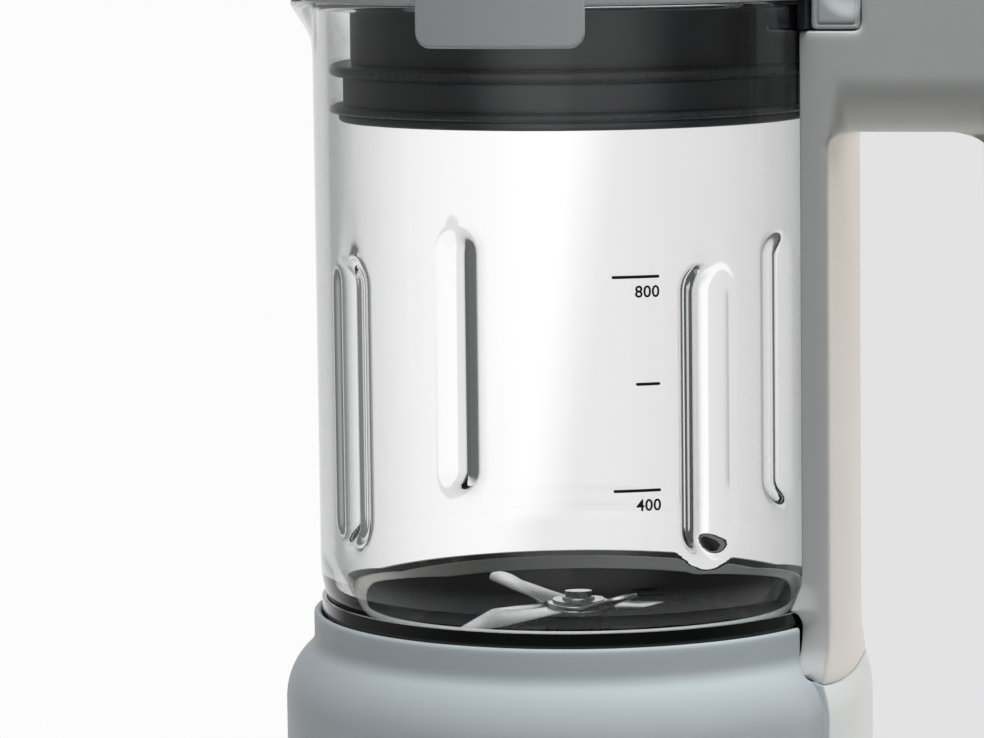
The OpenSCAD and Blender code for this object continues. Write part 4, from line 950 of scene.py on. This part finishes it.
def makeCapGrip():
    # a bar that stands on the cap, with hollowed sides for the fingers
    clearSelection()
    bpy.ops.mesh.primitive_cube_add(size=1)
    bar = bpy.context.object
    bar.name = bar.data.name = "cap_grip"
    turnMesh(bar, Matrix.Translation(Vector((0, 0, 261.19)) * mm)
             @ Matrix.Diagonal(Vector((44, 7, 7.18)) * mm).to_4x4())
    applyModifier(bar, "REMESH", mode="VOXEL", voxel_size=0.55 * mm)

    def shape(x, y, z):
        reach = 22.2
        half = 3.45 - 1.0 * smoothStep(17, 4, abs(x)) * smoothStep(257, 262, z)
        y = y / 3.5 * half
        if abs(x) > 18.6:
            # round ends that follow the cap's rim
            over = (abs(x) - 18.6) / (22 - 18.6)
            bow = math.sqrt(max(1 - (y / 3.6) ** 2 * over, 0))
            x = math.copysign(18.6 + (reach - 18.6) * over * bow, x)
        return x, y, z

    moveVertices(bar, shape)
    applyModifier(bar, "SMOOTH", factor=0.5, iterations=5)
    return bar


capBody = makeCap()
steam = turnOutline("steam_cutter", [(0, 250), (1.2, 250), (1.2, 262), (0, 262)], 32)
for y in (8.5, -8.5):
    hole = steam.copy()
    hole.data = steam.data.copy()
    bpy.context.scene.collection.objects.link(hole)
    turnMesh(hole, Matrix.Translation(Vector((0, y, 0)) * mm))
    cutWith(capBody, hole)
bpy.data.objects.remove(steam)
finishPiece(capBody, lidAbs, "feed_cap", "lid_grey", "feed_cap")
finishPiece(makeCapGrip(), lidAbs, "feed_cap", "lid_grey", "feed_cap", angle=60)
print("cap made")


# handle: one outline, pressed to its widths, split into body and cover

handle = dict(half=18.0, spineX=59.8, gripIn=93.6, gripOut=111.59, split=103.5, gap=0.15,
              voxel=0.85, gripLow=136.0, bore=57.0, armRound=12.6, crown=0.95)

# half width of the spine near its foot, by height
footWidth = [(97.3, 23.1), (98.7, 23.0), (100.0, 22.5), (101.0, 21.8), (102.5, 20.4),
             (104.5, 19.0), (107.0, 18.4), (111.0, 18.0)]
# how far the inner edge reaches round the glass above the jug's black ring
hookWidth = [(109.8, 0), (110.6, 0.2), (113.3, 2.2), (114.6, 1.5), (118.5, 0)]


def makeHandle():
    h = handle
    corners = [(50, 99.4, 0), (57.4, 99.4, 0), (57.4, 98.2, 0), (h["spineX"], 98.2, 0),
               (h["spineX"], 214.6, 2.5), (h["gripIn"], 214.6, 10.0), (h["gripIn"], 136.0, 5.0),
               (h["gripOut"], 136.0, 5.0), (h["gripOut"], 254.0, 18.0), (67.1, 254.0, 1.2),
               (67.1, 236.5, 1.0), (50, 236.5, 1.0)]
    outline = softCorners(corners, 10)
    solid = raiseOutline("handle_solid", [(x, -h["half"], z) for x, z in outline],
                         (0, 2 * h["half"], 0))
    softenEdges(solid, 1.3, 3, 60)
    applyModifier(solid, "REMESH", mode="VOXEL", voxel_size=h["voxel"] * mm)
    applyModifier(solid, "SMOOTH", factor=0.5, iterations=2)

    def press(x, y, z):
        half = h["half"]
        width = half
        if x < 70 and z < 119:
            width = blendRows(footWidth, z)
            width += blendRows(hookWidth, z) * smoothStep(58.5, 53.5, x)
        elif x > 80:
            # the grip is round in plan and at its lower end
            near = min(x - h["gripIn"], h["gripOut"] - x)
            share = smoothStep(84, 95, x)
            plan = half - 7 + math.sqrt(max(49 - max(7 - near, 0) ** 2, 0)) if near < 7 else half
            if z > 214 and x < h["gripIn"] + 7:
                plan = half
            end = half
            if z < h["gripLow"] + half:
                end = math.sqrt(max(half ** 2 - (h["gripLow"] + half - z) ** 2, 4))
            width = half + (max(min(plan, end), 3.0) - half) * share
        if x > 60 and z > 205:
            # the arm narrows away from the jug, and its lower edges round under
            taper = smoothStep(62, 90, x) * smoothStep(200, 220, z)
            width -= 1.6 * taper * (1 - smoothStep(96, 110, x))
            drop = min(max((h["armRound"] + 214.6 - z) / h["armRound"], 0), 1)
            under = h["armRound"] * (1 - math.sqrt(max(1 - drop * drop, 0)))
            width -= 0.95 * under * smoothStep(60.2, 63.5, x) * (1 - smoothStep(91, 98, x))
        y *= width / half
        side = 1 - min(abs(y) / width, 1) ** 2
        if 57.5 < x < 64 and z < 234:
            # the outer face of the spine is slightly crowned
            x += h["crown"] * side * smoothStep(57.5, 59.5, x) * (1 - smoothStep(208, 216, z))
        if x > 57.5 and z < 108:
            z -= 1.8 * side * smoothStep(108, 98.2, z)
        if z < 113.3:
            bore = h["bore"] + 0.2
        elif z < 121:
            bore = 32.5 + math.sqrt(24 ** 2 - (121 - z) ** 2) + 0.35
        else:
            bore = h["bore"]
        if math.hypot(x, y) < bore:
            # the spine's inner side follows the glass
            x = math.sqrt(bore ** 2 - y * y)
        return x, y, z

    moveVertices(solid, press)
    applyModifier(solid, "SMOOTH", factor=0.5, iterations=1)
    return solid


def splitHandle(obj, name, keepInner):
    h = handle
    part = obj.copy()
    part.data = obj.data.copy()
    part.name = part.data.name = name
    bpy.context.scene.collection.objects.link(part)
    activate(part)
    bpy.ops.object.mode_set(mode="EDIT")
    bpy.ops.mesh.select_all(action="SELECT")
    at = h["split"] - h["gap"] if keepInner else h["split"] + h["gap"]
    bpy.ops.mesh.bisect(plane_co=(at * mm, 0, 0), plane_no=(1, 0, 0), use_fill=True,
                        clear_outer=keepInner, clear_inner=not keepInner)
    bpy.ops.object.mode_set(mode="OBJECT")
    return part


handleSolid = makeHandle()
handleBody = splitHandle(handleSolid, "handle_frame", True)
handleCover = splitHandle(handleSolid, "handle_shell", False)
bpy.data.objects.remove(handleSolid)
finishPiece(handleBody, handleAbs, "jug", "handle_grey", "handle_body", angle=45)
finishPiece(handleCover, handleAbs, "jug", "handle_grey", "handle_cover", angle=45)
print("handle made,", len(handleBody.data.polygons), "faces")


# blades

blade = dict(thick=1.0, hub=7.0, bore=3.08, lowZ=105.6, highZ=106.6)


def makeWing(name, outline, angle, rise, z, pitch=0):
    # outline is drawn along +X, then bent up or down at the fold
    fold = 6.4
    wing = raiseOutline(name, [(x, y, 0) for x, y in outline], (0, 0, blade["thick"]))
    softenEdges(wing, 0.18, 2, 40)
    tilt = (Matrix.Rotation(math.radians(angle), 4, "Z")
            @ Matrix.Translation(Vector((fold, 0, 0)) * mm)
            @ Matrix.Rotation(-math.radians(rise), 4, "Y"))

    def twist(x, y, z0):
        # the sheet turns a little about its length past the fold
        a = math.radians(pitch) * smoothStep(0, 6, x)
        return x, y * math.cos(a) - z0 * math.sin(a), y * math.sin(a) + z0 * math.cos(a)

    moveVertices(wing, twist)
    turnMesh(wing, Matrix.Translation(Vector((0, 0, z)) * mm) @ tilt)
    return wing


def makeHub(name, z):
    b = blade
    corners = [(b["bore"], z, 0.1), (b["hub"], z, 0.2), (b["hub"], z + b["thick"], 0.2),
               (b["bore"], z + b["thick"], 0.1)]
    return turnOutline(name, softCorners(corners, 3), 96)


def pointedWing(reach):
    return softCorners([(0, -5.2, 0), (reach * 0.46, -5.0, 3.0), (reach, 2.4, 0.4),
                        (reach - 1.0, 3.0, 0.4), (reach * 0.54, 3.2, 4.0), (0, 5.2, 0)], 5)


def roundWing(reach):
    return softCorners([(0, -5.0, 0), (reach - 0.6, -3.6, 3.2), (reach, 3.2, 3.0),
                        (3.0, 5.0, 1.0), (0, 5.0, 0)], 7)


wings = [("wing_low_left", pointedWing(27.5), 220, -5.0, -14, "lowZ", "lower_blade"),
         ("wing_low_right", pointedWing(16.5), 40, -8.0, 0, "lowZ", "lower_blade"),
         ("wing_high_left", roundWing(19.2), 158, 24, 0, "highZ", "upper_blade"),
         ("wing_high_right", roundWing(13.5), 322, 23, 4, "highZ", "upper_blade")]
for name, outline, angle, rise, pitch, height, node in wings:
    finishPiece(makeWing(name, outline, angle, rise, blade[height], pitch), groundSteel,
                "blades", "polished_steel", node)
hubs = [("hub_low", "lowZ", "lower_blade"), ("hub_high", "highZ", "upper_blade")]
for name, height, node in hubs:
    finishPiece(makeHub(name, blade[height]), groundSteel, "blades", "polished_steel", node)


def makeNut():
    # a low flanged nut with a drilled crown
    corners = [(0.02, 107.7, 0), (4.8, 107.7, 0.2), (4.8, 108.2, 0.3), (3.6, 108.3, 0.2),
               (3.6, 109.2, 0.5), (1.4, 109.2, 0.3), (0.9, 108.8, 0.1), (0.02, 108.8, 0)]
    return turnOutline("crown_nut", softCorners(corners, 4), 64)


def makeBearingHead():
    corners = [(3.2, 96.0, 0), (5.4, 96.0, 0), (5.4, 104.6, 0.6), (3.2, 104.6, 0.3)]
    return turnOutline("bearing_head", softCorners(corners, 5), 72)


def makeGasketLip():
    # silicone between the pan and the glass, drawn as a pale ring: painted light, standing in for
    # light from behind refracted through the glass heel
    outer = [(30.0 + 23.2 * math.sin(a), 123.5 - 23.2 * math.cos(a)) for a in
             [math.radians(52 + 10.8 * k / 12) for k in range(13)]]
    inner = [(30.0 + 22.2 * math.sin(a), 123.5 - 22.2 * math.cos(a)) for a in
             [math.radians(61.8 - 7.8 * k / 12) for k in range(13)]]
    return turnOutline("gasket_lip", outer + inner, 240)


finishPiece(makeNut(), stainlessSteel, "blades", "polished_steel", "blade_nut")
finishPiece(makeBearingHead(), enamel, "jug", "steel", "bearing_housing")
finishPiece(makeGasketLip(), paintedLightSilicone, "jug", "silicone", angle=60)
print("blades made")


# stage: floor, backdrop light and lamps

stage = dict(floorRadius=0.42, floorTone="f2f2f1", fadeStart=0.12, fadeEnd=0.34,
             cameraPlace=(0.258819, -0.965926, 0.2782), cameraTurn=math.radians(15) + 0.0184,
             cameraDip=math.radians(6.62), roll=0.0124, frameWidth=984, frameHeight=738,
             focal=4603, clothStart=0.94, clothEnd=0.6, dim=0.2, near=0.35)


def makeFloor():
    clearSelection()
    bpy.ops.mesh.primitive_circle_add(vertices=96, radius=stage["floorRadius"], fill_type="NGON")
    floor = bpy.context.object
    floor.name = floor.data.name = "studio_floor"
    material, tree = newMaterial("paper_backdrop")
    # the sheet fades out at its rim, so that it has no edge
    place = addNode(tree, "ShaderNodeTexCoord")
    away = addNode(tree, "ShaderNodeVectorMath", {"operation": "LENGTH"},
                   {0: place.outputs["Object"]})
    fade = addNode(tree, "ShaderNodeMapRange",
                   {"interpolation_type": "SMOOTHSTEP", "From Min": stage["fadeStart"],
                    "From Max": stage["fadeEnd"], "To Min": 0.0, "To Max": 1.0},
                   {"Value": away.outputs["Value"]})
    paper = addNode(tree, "ShaderNodeBsdfDiffuse", {"Color": linear(stage["floorTone"])})
    clear = addNode(tree, "ShaderNodeBsdfTransparent")
    mixed = addNode(tree, "ShaderNodeMixShader", None,
                    {0: fade.outputs[0], 1: paper.outputs[0], 2: clear.outputs[0]})
    closeSurface(tree, mixed.outputs[0])
    floor.data.materials.append(material)


def makeCamera():
    camera = bpy.data.objects.new("camera", bpy.data.cameras.new("camera"))
    bpy.context.scene.collection.objects.link(camera)
    camera.data.sensor_width = 36
    camera.data.lens = stage["focal"] / stage["frameWidth"] * 36
    camera.matrix_world = (Matrix.Translation(stage["cameraPlace"])
                           @ Matrix.Rotation(stage["cameraTurn"], 4, "Z")
                           @ Matrix.Rotation(math.pi / 2 - stage["cameraDip"], 4, "X")
                           @ Matrix.Rotation(-stage["roll"], 4, "Z"))
    camera.data.clip_start, camera.data.clip_end = 0.05, 50
    bpy.context.scene.camera = camera
    return camera


def makeWorld(camera):
    world = bpy.data.worlds.new("studio")
    bpy.context.scene.world = world
    world.use_nodes = True
    tree = world.node_tree
    tree.nodes.clear()
    # a soft shadow edge across the backdrop, as a plane through the lens
    turn = camera.matrix_world.to_3x3()

    def ray(px, py):
        return turn @ Vector(((px - stage["frameWidth"] / 2) / stage["focal"],
                              (stage["frameHeight"] / 2 - py) / stage["focal"], -1))

    across = ray(603, 150).cross(ray(520, 560)).normalized()
    place = addNode(tree, "ShaderNodeTexCoord")
    side = addNode(tree, "ShaderNodeVectorMath", {"operation": "DOT_PRODUCT"},
                   {0: place.outputs["Generated"]})
    side.inputs[1].default_value = across if across.dot(ray(900, 369)) > 0 else -across
    edge = addNode(tree, "ShaderNodeMapRange",
                   {"interpolation_type": "SMOOTHSTEP", "From Min": -0.012, "From Max": 0.012},
                   {"Value": side.outputs["Value"]})
    tone = addNode(tree, "ShaderNodeMix", {"data_type": "RGBA"})
    tone.inputs[6].default_value = linear("fcfcfc")
    tone.inputs[7].default_value = linear("e3e3e3")
    tree.links.new(edge.outputs[0], tone.inputs[0])
    seen = addNode(tree, "ShaderNodeBackground", {"Strength": 1.0}, {"Color": tone.outputs[2]})
    lit = addNode(tree, "ShaderNodeBackground", {"Color": linear("f7f7f6"), "Strength": 0.15})
    # behind the object the cloth is white, in front the studio is dim
    facing = addNode(tree, "ShaderNodeVectorMath", {"operation": "DOT_PRODUCT"},
                     {0: place.outputs["Generated"]})
    facing.inputs[1].default_value = -camera.location.normalized()
    rays = addNode(tree, "ShaderNodeLightPath")
    # what is seen through the glass is white from the far side too
    eitherWay = addNode(tree, "ShaderNodeMath", {"operation": "ABSOLUTE"},
                        {0: facing.outputs["Value"]})
    turned = addNode(tree, "ShaderNodeMix", {"data_type": "FLOAT"},
                     {0: rays.outputs["Is Transmission Ray"], 2: facing.outputs["Value"],
                      3: eitherWay.outputs[0]})
    cloth = addNode(tree, "ShaderNodeMapRange",
                    {"interpolation_type": "SMOOTHSTEP", "From Min": stage["clothEnd"],
                     "From Max": stage["clothStart"], "To Min": stage["dim"], "To Max": 1.0},
                    {"Value": turned.outputs[0]})
    # the near side of the room is darker still, so black plastic stays black
    nearDark = addNode(tree, "ShaderNodeMapRange",
                       {"From Min": -0.5, "From Max": 0.1, "To Min": stage["near"], "To Max": 1.0},
                       {"Value": turned.outputs[0]})
    level = addNode(tree, "ShaderNodeMath", {"operation": "MULTIPLY"},
                    {0: cloth.outputs[0], 1: nearDark.outputs[0]})
    shown = addNode(tree, "ShaderNodeMath", {"operation": "MAXIMUM"},
                    {0: level.outputs[0], 1: rays.outputs["Is Camera Ray"]})
    # makes up for what the four faces of the jug turn back
    through = addNode(tree, "ShaderNodeMath", {"operation": "MULTIPLY_ADD", 1: 0.13, 2: 1.0},
                      {0: rays.outputs["Is Transmission Ray"]})
    strength = addNode(tree, "ShaderNodeMath", {"operation": "MULTIPLY"},
                       {0: through.outputs[0], 1: shown.outputs[0]})
    tree.links.new(strength.outputs[0], seen.inputs["Strength"])
    clean = addNode(tree, "ShaderNodeMath", {"operation": "MAXIMUM"})
    tree.links.new(rays.outputs["Is Camera Ray"], clean.inputs[0])
    tree.links.new(rays.outputs["Is Transmission Ray"], clean.inputs[1])
    both = addNode(tree, "ShaderNodeMath", {"operation": "MAXIMUM"}, {0: clean.outputs[0]})
    tree.links.new(rays.outputs["Is Glossy Ray"], both.inputs[1])
    mixed = addNode(tree, "ShaderNodeMixShader", None,
                    {0: both.outputs[0], 1: lit.outputs[0], 2: seen.outputs[0]})
    addNode(tree, "ShaderNodeOutputWorld", None, {"Surface": mixed.outputs[0]})


def addLamp(name, place, aim, size, power, colour="ffffff"):
    lamp = bpy.data.objects.new(name, bpy.data.lights.new(name, "AREA"))
    bpy.context.scene.collection.objects.link(lamp)
    lamp.data.shape = "RECTANGLE"
    lamp.data.size, lamp.data.size_y = size
    lamp.data.energy = power
    lamp.data.color = linear(colour)[:3]
    lamp.location = place
    # the cloth and the dim room are what the glass mirrors, and no lamp's square
    lamp.visible_glossy = False
    lamp.visible_transmission = False
    lamp.rotation_euler = (Vector(aim) - Vector(place)).to_track_quat("-Z", "Y").to_euler()


makeFloor()
camera = makeCamera()
makeWorld(camera)
addLamp("softbox_top", (0.18, -0.19, 1.2), (0, 0, 0.1), (0.7, 0.5), 16.0, "eff4f8")
addLamp("softbox_back_right", (0.55, 1.15, 0.3), (0.03, 0, 0.15), (0.8, 0.9), 26.0, "fff3ea")
addLamp("softbox_left", (-1.0, 0.2, 0.4), (0, 0, 0.1), (0.6, 0.9), 0.6)

scene = bpy.context.scene
scene.view_settings.view_transform = "Standard"

clearSelection()
print("scene ready")
